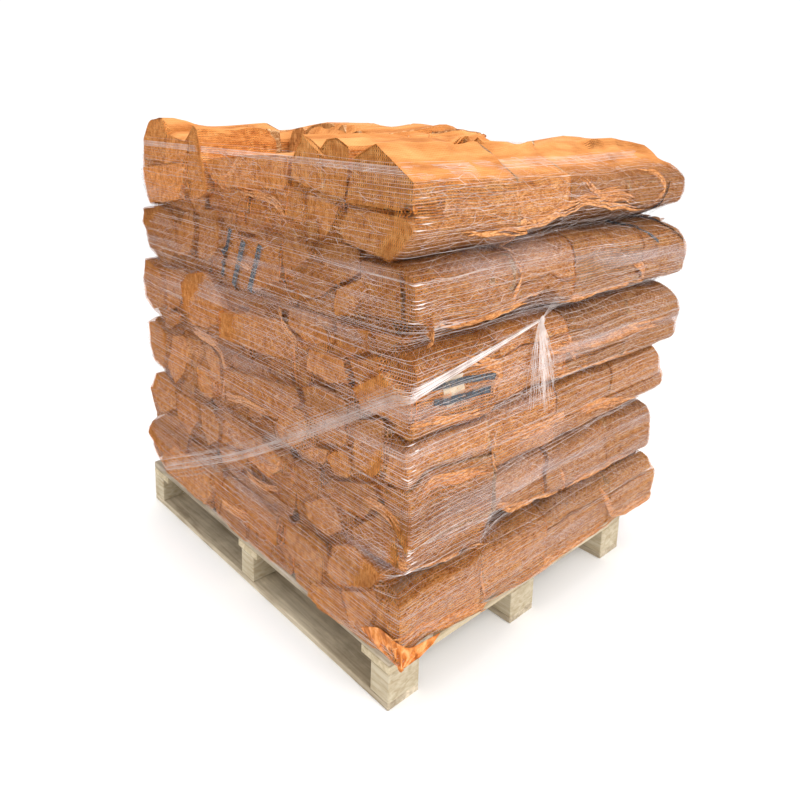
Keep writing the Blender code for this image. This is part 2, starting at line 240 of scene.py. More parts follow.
# Log ends on the near face, measured: (how far in from the face, (y, z) outline), all in millimetres
NEAR_LOGS = {
    (6, "front"): (
        (2, ((-617, 1222), (-613, 1182), (-578, 1164), (-416, 1164), (-434, 1255), (-501, 1293))),
        (6, ((-423, 1250), (-401, 1168), (-332, 1170), (-317, 1263), (-345, 1294), (-379, 1298),
             (-422, 1279))),
        (0, ((-333, 1175), (-266, 1182), (-216, 1195), (-220, 1230), (-251, 1277), (-270, 1302),
             (-317, 1265))),
        (0, ((-600, 1094), (-566, 1062), (-404, 1076), (-372, 1105), (-412, 1155), (-583, 1157),
             (-617, 1150), (-630, 1133))),
        (14, ((-385, 1153), (-348, 1095), (-327, 1072), (-297, 1068), (-259, 1095), (-251, 1170))),
        (9, ((-258, 1097), (-211, 1096), (-178, 1101), (-187, 1178), (-250, 1170))),
        (110, ((-612, 1205), (-610, 1125), (-548, 1085), (-525, 1130), (-545, 1236), (-575, 1232))),
    ),
    (6, "middle"): (
        (6, ((-199, 1249), (-191, 1212), (-175, 1168), (88, 1150), (155, 1163), (180, 1215), (-13, 1240))),
        (26, ((-141, 1060), (49, 1044), (194, 1086), (204, 1124), (128, 1135), (-85, 1123), (-141, 1093))),
    ),
    (6, "back"): (
        (0, ((413, 1284), (434, 1190), (579, 1189), (572, 1251), (533, 1292), (496, 1314), (455, 1320),
             (422, 1320))),
        (8, ((301, 1255), (316, 1206), (431, 1187), (417, 1278))),
        (4, ((306, 1156), (341, 1089), (452, 1068), (564, 1062), (602, 1118), (619, 1167), (315, 1201))),
        (0, ((168, 1130), (273, 1088), (286, 1158), (281, 1236), (266, 1279), (242, 1307), (214, 1299))),
    ),
    (5, "front"): (
        (0, ((-298, 1028), (-196, 964), (-183, 996), (-188, 1094), (-217, 1093))),
        (10, ((-311, 1111), (-307, 1061), (-289, 1058), (-254, 1078), (-231, 1106))),
        (9, ((-375, 976), (-321, 931), (-248, 920), (-191, 955), (-290, 1018), (-364, 1018))),
        (3, ((-465, 1019), (-393, 981), (-332, 1031), (-338, 1064), (-405, 1078), (-458, 1069))),
        (0, ((-480, 984), (-445, 921), (-387, 910), (-383, 945), (-393, 972), (-469, 1012))),
        (8, ((-589, 988), (-585, 942), (-452, 926), (-465, 1049), (-583, 1053))),
        (4, ((-630, 948), (-600, 942), (-596, 1052), (-622, 1034), (-630, 998))),
        (16, ((-357, 900), (-293, 892), (-246, 908), (-356, 955))),
        (66, ((-631, 925), (-575, 885), (-565, 930), (-580, 1050), (-605, 1050), (-629, 1020))),
    ),
    (5, "middle"): (
        (24, ((-145, 1037), (95, 1038), (130, 1078), (-62, 1095), (-141, 1081))),
        (8, ((-171, 949), (-83, 905), (23, 884), (110, 905), (107, 973), (19, 1024), (-164, 1029),
             (-168, 993))),
    ),
    (5, "back"): (
        (6, ((393, 917), (552, 900), (584, 947), (602, 990), (589, 1046), (448, 1059), (404, 1034))),
        (14, ((267, 1004), (307, 927), (383, 915), (412, 965), (407, 1033), (281, 1069))),
        (0, ((106, 1039), (114, 986), (182, 933), (251, 933), (225, 1077), (120, 1086))),
    ),
    (4, "front"): (
        (12, ((-363, 836), (-272, 812), (-199, 841), (-199, 886), (-355, 888))),
        (6, ((-502, 859), (-416, 821), (-384, 838), (-380, 891), (-491, 900))),
        (16, ((-587, 907), (-538, 860), (-503, 857), (-496, 897))),
        (9, ((-428, 761), (-360, 740), (-260, 744), (-268, 799), (-406, 811))),
        (3, ((-534, 827), (-455, 773), (-430, 817), (-524, 852))),
        (0, ((-625, 739), (-602, 725), (-477, 723), (-452, 764), (-541, 825), (-623, 786))),
        (8, ((-630, 737), (-627, 695), (-560, 700), (-580, 735))),
    ),
    (4, "middle"): (
        (22, ((-176, 885), (-159, 850), (-3, 835), (121, 827), (140, 869), (21, 877))),
        (6, ((-260, 805), (-244, 755), (-83, 733), (113, 734), (110, 807), (-28, 830), (-178, 845))),
    ),
    (4, "back"): (
        (8, ((473, 808), (485, 740), (582, 702), (638, 734), (638, 795), (622, 835), (596, 873),
             (496, 858))),
        (14, ((324, 864), (375, 761), (464, 725), (495, 857), (360, 879))),
        (0, ((116, 792), (203, 730), (293, 723), (327, 777), (329, 844), (283, 883), (206, 900),
             (156, 881), (125, 847))),
        (4, ((358, 716), (434, 672), (489, 675), (479, 716), (369, 745))),
    ),
    (3, "front"): (
        (0, ((-280, 604), (-264, 561), (-230, 530), (-183, 531), (-152, 557), (-161, 599), (-209, 634),
             (-255, 637))),
        (0, ((-425, 686), (-353, 633), (-292, 618), (-271, 663), (-263, 703), (-314, 722), (-371, 723),
             (-421, 718))),
        (12, ((-422, 628), (-409, 601), (-361, 587), (-308, 575), (-280, 598), (-404, 663))),
        (2, ((-550, 656), (-542, 593), (-514, 572), (-450, 578), (-441, 633), (-447, 683), (-538, 718),
             (-548, 696))),
        (0, ((-445, 572), (-428, 533), (-381, 523), (-358, 562), (-387, 589), (-427, 602))),
        (14, ((-344, 567), (-329, 520), (-249, 509), (-228, 522), (-281, 553))),
        (6, ((-620, 600), (-594, 577), (-551, 584), (-558, 649), (-606, 663))),
    ),
    (3, "middle"): (
        (18, ((-149, 706), (-127, 672), (139, 641), (142, 691))),
        (4, ((-250, 657), (-137, 573), (119, 540), (120, 635), (-237, 694))),
    ),
    (3, "back"): (
        (5, ((460, 651), (479, 586), (505, 525), (586, 526), (618, 583), (619, 656), (535, 683))),
        (2, ((317, 632), (347, 559), (410, 500), (470, 536), (433, 652), (352, 673))),
        (10, ((251, 648), (283, 611), (313, 631), (342, 671), (255, 681))),
        (12, ((156, 656), (160, 542), (232, 622), (241, 675), (200, 683))),
        (0, ((184, 572), (186, 525), (234, 512), (263, 534), (265, 603), (211, 600))),
        (12, ((305, 518), (313, 483), (391, 477), (404, 487), (320, 581))),
    ),
    (2, "front"): (
        (12, ((-319, 505), (-312, 444), (-229, 385), (-186, 416), (-177, 474), (-246, 496))),
        (4, ((-535, 526), (-477, 451), (-398, 444), (-353, 465), (-375, 505), (-508, 553))),
        (8, ((-413, 393), (-350, 340), (-256, 344), (-239, 380), (-325, 440), (-386, 432))),
        (0, ((-630, 439), (-552, 512), (-547, 566), (-617, 583), (-629, 525))),
        (4, ((-603, 393), (-444, 371), (-429, 402), (-542, 501), (-594, 459))),
    ),
    (2, "middle"): (
        (6, ((-80, 460), (47, 419), (146, 402), (147, 501), (8, 505), (-66, 495))),
        (0, ((-172, 448), (-112, 400), (21, 413), (-75, 488), (-159, 476))),
        (14, ((-12, 389), (9, 338), (151, 322), (160, 382), (60, 399))),
    ),
    (2, "back"): (
        (6, ((448, 398), (567, 350), (606, 423), (577, 489), (517, 510), (456, 471))),
        (0, ((561, 354), (571, 333), (590, 369), (610, 409), (615, 432), (585, 428))),
        (8, ((292, 419), (347, 345), (432, 376), (440, 462), (307, 475))),
        (3, ((155, 456), (158, 402), (224, 360), (270, 411), (279, 476), (200, 490))),
        (0, ((345, 342), (362, 288), (513, 229), (638, 255), (619, 305), (539, 354), (437, 383))),
    ),
    (1, "front"): (
        (0, ((-564, 364), (-533, 314), (-396, 244), (-361, 252), (-356, 285), (-375, 338), (-455, 379))),
        (10, ((-332, 213), (-275, 192), (-169, 222), (-170, 292), (-253, 299), (-332, 273))),
        (4, ((-430, 168), (-404, 142), (-325, 142), (-283, 154), (-291, 187), (-364, 217), (-402, 228))),
        (8, ((-532, 264), (-508, 182), (-451, 163), (-412, 237), (-518, 292))),
        (0, ((-616, 165), (-558, 167), (-523, 186), (-547, 287), (-557, 298), (-578, 255))),
        (5, ((-613, 236), (-609, 170), (-580, 205), (-572, 296), (-586, 309), (-605, 306))),
    ),
    (1, "middle"): (
        (4, ((-160, 226), (-38, 213), (123, 212), (186, 222), (196, 263), (102, 316), (-15, 318),
             (-142, 304))),
        (12, ((-176, 341), (-167, 313), (-23, 318), (104, 331), (-44, 357))),
    ),
    (1, "back"): (
        (0, ((185, 231), (236, 164), (399, 164), (498, 172), (539, 209), (432, 283), (213, 271))),
        (8, ((119, 326), (145, 258), (340, 282), (350, 333), (236, 337))),
    ),
}


# Gathered folds of the sack nets on the front face: (level, thickness, (x, z) points), in millimetres
FRONT_FOLDS = (
    (6, 7, ((-421, 1122), (-330, 1113), (-225, 1103), (-150, 1107), (-73, 1122), (10, 1137), (98, 1146),
            (222, 1132), (369, 1113))),
    (6, 4, ((-224, 1096), (-215, 1077), (-223, 1050), (-225, 1027))),
    (6, 5, ((44, 1209), (74, 1182), (124, 1159), (192, 1160), (298, 1143))),
    (6, 4, ((367, 1204), (422, 1185), (453, 1150), (414, 1116))),
    (5, 6, ((-497, 925), (-451, 920), (-372, 921), (-288, 926), (-227, 929), (-160, 942), (-97, 947))),
    (5, 6, ((-76, 914), (33, 903), (151, 900), (263, 902), (334, 897))),
    (5, 5, ((294, 965), (331, 943), (348, 913), (319, 888))),
    (5, 4, ((-233, 1032), (-215, 1000), (-231, 967), (-247, 947))),
    (4, 5, ((-567, 741), (-484, 724), (-388, 704), (-304, 682))),
    (4, 5, ((-397, 834), (-328, 809), (-273, 782), (-289, 758), (-301, 727))),
    (4, 5, ((-122, 797), (7, 780), (175, 767), (333, 764), (498, 757))),
    (4, 4, ((-12, 826), (6, 788), (34, 753), (94, 724))),
    (4, 6, ((-50, 714), (64, 703), (211, 697), (375, 690))),
    (3, 6, ((-541, 588), (-471, 575), (-383, 561), (-276, 545))),
    (3, 6, ((-250, 587), (-132, 577), (-4, 572), (138, 566), (295, 553), (442, 526))),
    (3, 4, ((-280, 637), (-262, 601), (-274, 570), (-257, 539))),
    (2, 6, ((-514, 361), (-437, 341), (-340, 324), (-242, 303))),
    (2, 6, ((-236, 419), (-146, 385), (-38, 367), (59, 355))),
    (2, 4, ((45, 424), (64, 388), (59, 355))),
    (2, 6, ((77, 366), (229, 349), (368, 341), (495, 332))),
    (1, 7, ((-589, 250), (-502, 220), (-401, 188), (-292, 166), (-254, 164))),
    (1, 7, ((-247, 177), (-132, 150), (1, 143), (146, 137), (278, 136), (347, 162))),
    (1, 4, ((-286, 272), (-275, 232), (-256, 187))),
    (1, 5, ((260, 285), (301, 231), (344, 176), (478, 158), (572, 165))),
)

# The same on the near face: (thickness, (y, z) points)
NEAR_FOLDS = (
    (5, ((98, 1150), (8, 1145), (-75, 1139), (-128, 1130), (-158, 1114), (-174, 1096))),
    (5, ((131, 1186), (100, 1173), (59, 1189), (24, 1215), (-19, 1228))),
    (4, ((168, 1202), (148, 1174), (111, 1156), (81, 1138))),
    (4, ((64, 963), (24, 959), (-5, 954), (-34, 945))),
    (6, ((328, 698), (278, 698), (224, 694), (172, 690), (135, 658))),
    (5, ((-79, 433), (-107, 428), (-145, 443), (-159, 471))),
    (5, ((34, 351), (-28, 354), (-87, 356), (-135, 354))),
    (6, ((158, 675), (137, 646), (133, 599), (147, 547))),
    (5, ((122, 555), (26, 575), (-54, 581), (-111, 587))),
    (5, ((-130, 869), (-156, 850), (-207, 821), (-256, 799))),
    (5, ((-547, 420), (-573, 414), (-605, 407), (-635, 409))),
    (6, ((189, 208), (136, 213), (58, 224), (-27, 239))),
    (5, ((-587, 926), (-611, 916), (-628, 904), (-612, 887))),
    (5, ((-461, 496), (-505, 504), (-551, 508), (-595, 491), (-620, 476))),
)


# Materials
def new_material(name):
    material = bpy.data.materials.new(name)
    material.use_nodes = True
    tree = material.node_tree
    return material, tree, tree.nodes["Principled BSDF"]


def node(tree, kind, **settings):
    made = tree.nodes.new(kind)
    for key, value in settings.items():
        setattr(made, key, value)
    return made


def link(tree, source, output, target, socket):
    tree.links.new(source.outputs[output], target.inputs[socket])


def ramp(tree, stops, interpolation="LINEAR"):
    made = node(tree, "ShaderNodeValToRGB")
    made.color_ramp.interpolation = interpolation
    elements = made.color_ramp.elements
    while len(elements) < len(stops):
        elements.new(0.5)
    for element, (place, colour) in zip(elements, stops):
        element.position = place
        element.color = (*colour, 1.0) if len(colour) == 3 else colour
    return made


def mapped(tree, scale, rotation=(0, 0, 0), coordinates="Object"):
    place = node(tree, "ShaderNodeTexCoord")
    mapping = node(tree, "ShaderNodeMapping")
    mapping.inputs["Scale"].default_value = scale
    mapping.inputs["Rotation"].default_value = rotation
    link(tree, place, coordinates, mapping, "Vector")
    return mapping


def noise_node(tree, vector, scale, detail=4.0, roughness=0.55, distortion=0.0):
    made = node(tree, "ShaderNodeTexNoise")
    made.inputs["Scale"].default_value = scale
    made.inputs["Detail"].default_value = detail
    made.inputs["Roughness"].default_value = roughness
    made.inputs["Distortion"].default_value = distortion
    link(tree, vector, "Vector", made, "Vector")
    return made


def mix(tree, mode, factor, first, second):
    made = node(tree, "ShaderNodeMix", data_type="RGBA", blend_type=mode)
    sockets = {"f": made.inputs[0], "a": made.inputs[6], "b": made.inputs[7]}
    for key, value in (("f", factor), ("a", first), ("b", second)):
        if isinstance(value, tuple) and hasattr(value[0], "outputs"):
            tree.links.new(value[0].outputs[value[1]], sockets[key])
        elif isinstance(value, tuple):
            sockets[key].default_value = (*value, 1.0)
        else:
            sockets[key].default_value = value
    return made


def maths(tree, operation, first, second=None, clamp=False):
    made = node(tree, "ShaderNodeMath", operation=operation, use_clamp=clamp)
    for socket, value in zip(made.inputs, (first, second)):
        if value is None:
            continue
        if isinstance(value, tuple):
            tree.links.new(value[0].outputs[value[1]], socket)
        else:
            socket.default_value = value
    return made


def bump(tree, shader, height, strength, distance):
    made = node(tree, "ShaderNodeBump")
    made.inputs["Strength"].default_value = strength
    made.inputs["Distance"].default_value = distance
    tree.links.new(height[0].outputs[height[1]], made.inputs["Height"])
    link(tree, made, "Normal", shader, "Normal")


def facing_up(tree, low, high):
    """How much a surface faces up or down, as a share."""
    geometry = node(tree, "ShaderNodeNewGeometry")
    apart = node(tree, "ShaderNodeSeparateXYZ")
    link(tree, geometry, "Normal", apart, 0)
    size = maths(tree, "ABSOLUTE", (apart, "Z"))
    share = ramp(tree, ((low, (0.0, 0.0, 0.0)), (high, (1.0, 1.0, 1.0))))
    tree.links.new(size.outputs[0], share.inputs["Fac"])
    return share


def high_up(tree, low, high, shares=(0.0, 1.0)):
    """One share below a height, another above a second height, and in between them a blend."""
    place = node(tree, "ShaderNodeTexCoord")
    apart = node(tree, "ShaderNodeSeparateXYZ")
    link(tree, place, "Object", apart, 0)
    span = node(tree, "ShaderNodeMapRange")
    span.inputs["From Min"].default_value = low
    span.inputs["From Max"].default_value = high
    tree.links.new(apart.outputs["Z"], span.inputs["Value"])
    share = ramp(tree, ((0.0, (shares[0],) * 3), (1.0, (shares[1],) * 3)))
    tree.links.new(span.outputs["Result"], share.inputs["Fac"])
    return share


def speckled(tree, scale, stops, detail=4.0, roughness=0.55, distortion=0.0, rotation=(0, 0, 0)):
    """Noise stretched along the axes, and a ramp of colours or shares that it runs through."""
    made = noise_node(tree, mapped(tree, scale, rotation), 1.0, detail, roughness, distortion)
    colour = ramp(tree, stops)
    link(tree, made, "Fac", colour, "Fac")
    return made, colour


def finish(tree, shader, colour, roughness, specular=None):
    """Give a shader its colour, as a node and its output, and how rough and how shiny it is."""
    tree.links.new(colour[0].outputs[colour[1]], shader.inputs["Base Color"])
    shader.inputs["Roughness"].default_value = roughness
    if specular is not None:
        shader.inputs["Specular IOR Level"].default_value = specular


def shaded(tree, colour):
    """A colour times the shade that each log and each sack has in its mesh: their own tones, with painted
    shade and painted light.
    """
    shade = node(tree, "ShaderNodeAttribute", attribute_name="shade")
    return mix(tree, "MULTIPLY", 1.0, colour, (shade, "Color"))


def split_wood_material():
    """Split faces of an ash log: torn fibres over pale wood with long darker streaks."""
    material, tree, shader = new_material("split_ash")
    pale = ((0.28, (0.17, 0.070, 0.020)), (0.47, (0.44, 0.205, 0.066)), (0.70, (0.68, 0.38, 0.150)))
    _, wood = speckled(tree, (6.0, 150.0, 150.0), pale, 6.0, 0.62, 0.4)
    _, streak = speckled(tree, (3.0, 26.0, 26.0), ((0.30, (0.55, 0.45, 0.36)), (0.62, (1.0, 1.0, 1.0))), 3.0)
    torn, specks = speckled(tree, (85.0, 150.0, 230.0), (
        (0.36, (0.13, 0.046, 0.016)), (0.46, (0.40, 0.185, 0.072)), (0.56, (0.66, 0.41, 0.20)),
        (0.68, (0.90, 0.72, 0.52))), 4.0, 0.62, 1.2, (0.0, 0.35, 0.0))
    toned = mix(tree, "MULTIPLY", 0.8, (wood, "Color"), (streak, "Color"))
    rough = mix(tree, "MIX", 0.70, (toned, 2), (specks, "Color"))
    finish(tree, shader, (shaded(tree, (rough, 2)), 2), 0.82, 0.15)
    bump(tree, shader, (torn, "Fac"), 0.8, 0.004)
    return material


def end_wood_material():
    """Sawn ends: rings, and saw marks across them."""
    material, tree, shader = new_material("sawn_ash_end")
    pale = ((0.28, (0.20, 0.085, 0.026)), (0.50, (0.42, 0.200, 0.066)), (0.74, (0.62, 0.35, 0.135)))
    _, wood = speckled(tree, (30.0, 90.0, 40.0), pale, 4.0, 0.5, 1.2)
    dulled = ((0.35, (0.78, 0.74, 0.70)), (0.62, (1.0, 1.0, 1.0)))
    marks, sawn = speckled(tree, (20.0, 30.0, 420.0), dulled, 3.0)
    toned = mix(tree, "MULTIPLY", 0.9, (wood, "Color"), (sawn, "Color"))
    finish(tree, shader, (shaded(tree, (toned, 2)), 2), 0.88, 0.15)
    bump(tree, shader, (marks, "Fac"), 0.5, 0.002)
    return material


def bark_material():
    material, tree, shader = new_material("ash_bark")
    greys = ((0.32, (0.075, 0.052, 0.036)), (0.52, (0.20, 0.145, 0.095)), (0.75, (0.36, 0.28, 0.19)))
    ridges, colour = speckled(tree, (14.0, 60.0, 60.0), greys, 6.0, 0.65, 0.8)
    finish(tree, shader, (colour, "Color"), 0.95)
    bump(tree, shader, (ridges, "Fac"), 1.0, 0.008)
    return material


def net_lines(tree, curl_scale, curl_detail, curl_size, cell_along, cell_round, chain_width, tape_width):
    """Share of a net that is cord: chains along it, where they have a width, and slanting tapes."""
    place = node(tree, "ShaderNodeUVMap", uv_map="net")
    curl = noise_node(tree, mapped(tree, (curl_scale,) * 3), 1.0, curl_detail)
    moved = mix(tree, "LINEAR_LIGHT", curl_size, (place, "UV"), (curl, "Color"))
    apart = node(tree, "ShaderNodeSeparateXYZ")
    tree.links.new(moved.outputs[2], apart.inputs[0])
    round_it = maths(tree, "DIVIDE", (apart, "X"), cell_round)
    along = maths(tree, "DIVIDE", (apart, "Y"), cell_along)
    rising = maths(tree, "ADD", (round_it, 0), (along, 0))
    falling = maths(tree, "SUBTRACT", (round_it, 0), (along, 0))
    lines = None
    for value, width in ((round_it, chain_width), (rising, tape_width), (falling, tape_width)):
        if width:
            wave = maths(tree, "PINGPONG", (value, 0), 0.5)
            line = maths(tree, "LESS_THAN", (wave, 0), width)
            lines = line if lines is None else maths(tree, "MAXIMUM", (lines, 0), (line, 0))
    return lines


def sack_net_material():
    """Orange knitted net, see-through between its tapes, and drawn close over the top of the load, where it
    takes a painted sunlit colour of its own.
    """
    material, tree, shader = new_material("orange_net")
    mask = net_lines(tree, 9.0, 2.0, 0.006, 0.0082, 0.0060, 0.078, 0.078 * 0.8)
    _, colour = speckled(tree, (60.0, 60.0, 60.0), (
        (0.30, (0.42, 0.105, 0.015)), (0.52, (0.70, 0.245, 0.048)), (0.72, (0.88, 0.42, 0.130))))
    above = facing_up(tree, 0.14, 0.46)
    _, close = speckled(tree, (9.0, 14.0, 14.0), ((0.28, (0.86,) * 3), (0.46, (0.985,) * 3)), 3.0)
    dense = maths(tree, "MULTIPLY", (above, "Color"), (close, "Color"))
    cover = maths(tree, "MULTIPLY", (dense, 0), (high_up(tree, 1.19, 1.23), "Color"))
    alpha = maths(tree, "MAXIMUM", (mask, 0), (cover, 0))
    tree.links.new(alpha.outputs[0], shader.inputs["Alpha"])
    # Painted light: where the net is drawn close over the top it takes its own lit colour, sunlit, in place
    # of the side's colour
    folds, sunlit = speckled(tree, (7.0, 24.0, 24.0), (
        (0.32, (0.41, 0.150, 0.038)), (0.50, (0.59, 0.250, 0.080)), (0.68, (0.70, 0.335, 0.122))))
    weave = mix(tree, "MIX", (mask, 0), (0.86, 0.78, 0.66), (1.0, 1.0, 1.0))
    woven = mix(tree, "MULTIPLY", 1.0, (sunlit, "Color"), (weave, 2))
    sunlit_cover_blend = mix(tree, "MIX", (cover, 0), (shaded(tree, (colour, "Color")), 2), (woven, 2))
    finish(tree, shader, (sunlit_cover_blend, 2), 0.7, 0.1)
    bump(tree, shader, (folds, "Fac"), 0.7, 0.012)
    return material


def gathered_net_material(name, dark, middle, light, scale=(70.0, 240.0, 240.0)):
    """Orange net bunched into folds, where it is nearly solid."""
    material, tree, shader = new_material(name)
    streaks, colour = speckled(tree, scale, ((0.30, dark), (0.50, middle), (0.70, light)), 5.0, 0.6, 0.6)
    finish(tree, shader, (colour, "Color"), 0.6, 0.2)
    bump(tree, shader, (streaks, "Fac"), 0.8, 0.004)
    return material


def white_strand_material(name, alpha):
    material, tree, shader = new_material(name)
    whites = ((0.3, (0.52, 0.41, 0.36)), (0.7, (0.90, 0.80, 0.76)))
    _, colour = speckled(tree, (25.0, 25.0, 25.0), whites, 3.0)
    finish(tree, shader, (colour, "Color"), 0.4, 0.3)
    shader.inputs["Alpha"].default_value = alpha
    return material


def print_material():
    """Plain dark ink on the net, worn through in places."""
    material, tree, shader = new_material("print_ink")
    wear, colour = speckled(tree, (150.0, 150.0, 190.0), (
        (0.35, (0.016, 0.024, 0.036)), (0.70, (0.075, 0.090, 0.105))), 3.0)
    finish(tree, shader, (colour, "Color"), 0.6)
    kept = ramp(tree, ((0.36, (0.25,) * 3), (0.48, (0.96,) * 3)))
    link(tree, wear, "Fac", kept, "Fac")
    link(tree, kept, "Color", shader, "Alpha")
    return material


def slip_material():
    """A plain pale slip of paper under the net."""
    material, tree, shader = new_material("paper_slip")
    creams = ((0.3, (0.48, 0.36, 0.24)), (0.7, (0.70, 0.56, 0.40)))
    _, colour = speckled(tree, (30.0, 30.0, 30.0), creams, 3.0)
    finish(tree, shader, (colour, "Color"), 0.8)
    return material


def white_veil_material():
    """The finest cords of the pallet net, too thin to make one by one: a broken, see-through veil."""
    material, tree, shader = new_material("white_net_veil")
    lines = net_lines(tree, 14.0, 3.0, 0.012, 0.0125, 0.021, None, 0.016)
    patches, kept = speckled(tree, (5.0, 5.0, 8.0), ((0.35, (0.25,) * 3), (0.65, (0.85,) * 3)), 3.0)
    alpha = maths(tree, "MULTIPLY", (lines, 0), (kept, "Color"))
    _, drift = speckled(tree, (1.6, 1.6, 15.0), ((0.54, (0.0,) * 3), (0.72, (0.28,) * 3)), 3.0,
                        rotation=(0.12, 0.10, 0.0))
    haze = maths(tree, "ADD", (alpha, 0), (drift, "Color"), clamp=True)
    clear = high_up(tree, 0.98, 1.12, (1.0, 0.40))
    thinned = maths(tree, "MULTIPLY", (haze, 0), (clear, "Color"))
    tree.links.new(thinned.outputs[0], shader.inputs["Alpha"])
    colour = ramp(tree, ((0.3, (0.46, 0.38, 0.37)), (0.7, (0.74, 0.64, 0.64))))
    link(tree, patches, "Fac", colour, "Fac")
    finish(tree, shader, (colour, "Color"), 0.5, 0.2)
    return material


def softwood_material(name, dark, light, stain, grain_scale):
    """Sawn pallet wood with grain along its length, and stains."""
    material, tree, shader = new_material(name)
    grain, colour = speckled(tree, grain_scale, ((0.30, dark), (0.62, light)), 6.0, 0.6, 0.6)
    _, dirty = speckled(tree, (9.0, 5.0, 14.0), (
        (0.38, (stain, stain * 0.96, stain * 0.9)), (0.60, (1.0, 1.0, 1.0))), 5.0, 0.65)
    finish(tree, shader, (mix(tree, "MULTIPLY", 1.0, (colour, "Color"), (dirty, "Color")), 2), 0.85)
    bump(tree, shader, (grain, "Fac"), 0.6, 0.003)
    return material


# Shapes in a plane across the logs: convex polygons of (y, z) points, as arrays
def area_of(polygon):
    y, z = polygon[:, 0], polygon[:, 1]
    return 0.5 * abs(float(np.dot(y, np.roll(z, -1)) - np.dot(z, np.roll(y, -1))))


def cut(polygon, point, normal, gap):
    """The part of a convex polygon on the far side of a line, gap / 2 back from it."""
    heights = (polygon - point) @ normal + gap / 2
    kept = []
    for number in range(len(polygon)):
        after = (number + 1) % len(polygon)
        here, there = heights[number], heights[after]
        if here <= 0:
            kept.append(polygon[number])
        if (here < 0 < there) or (there < 0 < here):
            kept.append(polygon[number] + (polygon[after] - polygon[number]) * here / (here - there))
    return np.array(kept)


def split(polygon, rng, target):
    """Split a section into the sections of single logs, as an axe does: across its long way, at a slant."""
    if area_of(polygon) < target * rng.uniform(1.0, 1.9) or len(polygon) < 3:
        return [polygon]
    centre = polygon.mean(axis=0)
    spread = polygon - centre
    _, vectors = np.linalg.eigh(spread.T @ spread)
    long_way = vectors[:, 1]
    turn = rng.uniform(-0.62, 0.62)
    normal = np.array((long_way[0] * math.cos(turn) - long_way[1] * math.sin(turn),
                       long_way[0] * math.sin(turn) + long_way[1] * math.cos(turn)))
    reach = float(np.ptp(spread @ long_way))
    point = centre + long_way * reach * rng.uniform(-0.14, 0.14)
    parts = []
    for side in (normal, -normal):
        part = cut(polygon, point, side, LOG_GAP)
        if len(part) >= 3 and area_of(part) > target * 0.12:
            parts.extend(split(part, rng, target))
    return parts


def sack_section(low, high, row, top, rng):
    """Outline that the logs of a sack fill, in (y, z)."""
    width, height = high[1] - low[1], high[2] - low[2]
    edge = FRONT_EDGE_HEIGHT + (rng.uniform(-0.04, 0.07) if row == "back" else 0.0)
    inset = rng.uniform(0.0, 0.007)
    undercut = FRONT_UNDERCUT * rng.uniform(0.7, 1.2)
    if row == "middle":
        points = [(0.012, 0.0), (width - 0.012, 0.0), (width, height * 0.2), (width, height * 0.85),
                  (width - 0.02, height), (0.02, height), (0.0, height * 0.85), (0.0, height * 0.2)]
    else:
        points = [(undercut, 0.0), (width - 0.012, 0.0), (width, height * 0.22), (width, height * 0.86),
                  (width - 0.02, height), (0.080, height), (0.038, height * 0.975),
                  (inset + 0.010, height * 0.90), (inset, height * 0.78), (inset, height * (edge + 0.05)),
                  (inset + 0.008, height * edge)]
        if top:
            slope = rng.uniform(0.0, 0.010)
            points = [(undercut, 0.0), (width - 0.012, 0.0), (width, height * 0.22), (width, height * 0.77),
                      (width - 0.02, height * 0.84), (0.22, height * 0.865), (0.12, height * 0.80 + slope),
                      (inset + 0.022, height * 0.60), (inset, height * 0.52), (inset, height * (edge + 0.05)),
                      (inset + 0.008, height * edge)]
    points = np.array(points)
    if row == "back":
        points[:, 0] = width - points[:, 0]
        points = points[::-1]
    if top and row == "middle":
        drop = TOP_DROP * rng.uniform(0.6, 1.5)
        points[:, 1] = np.where(points[:, 1] > height * 0.8, points[:, 1] - drop, points[:, 1])
    return points + np.array((low[1], low[2]))


def raise_top(polygon, level_top, rng):
    """Logs of the top layer end in ridges: the upper side of a section gets an apex."""
    top = polygon[:, 1].max()
    upper = polygon[:, 1] > top - RIDGE_MARGIN
    if top < level_top - 0.030 or upper.sum() < 2:
        return polygon
    for number in range(len(polygon)):
        after = (number + 1) % len(polygon)
        if upper[number] and upper[after]:
            a, b = polygon[number], polygon[after]
            apex = a + (b - a) * rng.uniform(0.25, 0.75) + np.array((0.0, rng.uniform(*RIDGE_HEIGHTS)))
            return np.insert(polygon, number + 1, apex, axis=0)
    return polygon


def roughened(polygon, rng):
    """Corners knocked off and long sides bent a little, as split wood has them."""
    points = []
    count = len(polygon)
    for number in range(count):
        before, here, after = polygon[number - 1], polygon[number], polygon[(number + 1) % count]
        back, ahead = before - here, after - here
        chip = rng.uniform(0.0012, 0.0045)
        reach_back = min(chip / max(np.linalg.norm(back), 1e-6), 0.3)
        reach_ahead = min(chip / max(np.linalg.norm(ahead), 1e-6), 0.3)
        points.append(here + back * reach_back)
        points.append(here + ahead * reach_ahead)
        length = float(np.linalg.norm(ahead))
        if length > 0.03:
            normal = np.array((ahead[1], -ahead[0])) / length
            for share in (0.35, 0.68):
                along = share + rng.uniform(-0.08, 0.08)
                points.append(here + ahead * along + normal * rng.uniform(-0.0028, 0.0012))
    return np.array(points)


def ease(values):
    """Smooth step from 0 to 1."""
    held = np.clip(values, 0.0, 1.0)
    return held * held * (3 - 2 * held)


def growth(values, span):
    """From 0 at the span's start to 1 over its length."""
    return ease((values - span[0]) / span[1])


def waves(points, scales, seed):
    """Smooth unevenness between -1 and 1 at many points: a sum of slanting waves."""
    rng = random.Random(seed)
    total = np.zeros(len(points))
    for number in range(7):
        turn = np.array([rng.uniform(-1, 1) for _ in range(3)])
        turn /= np.linalg.norm(turn)
        grown = 1.0 + number * 0.35
        phase = (points * np.array(scales)) @ turn * grown * 2 * math.pi
        total += np.sin(phase + rng.uniform(0, 6.28)) / grown
    return np.clip(total / 2.4, -1.0, 1.0)


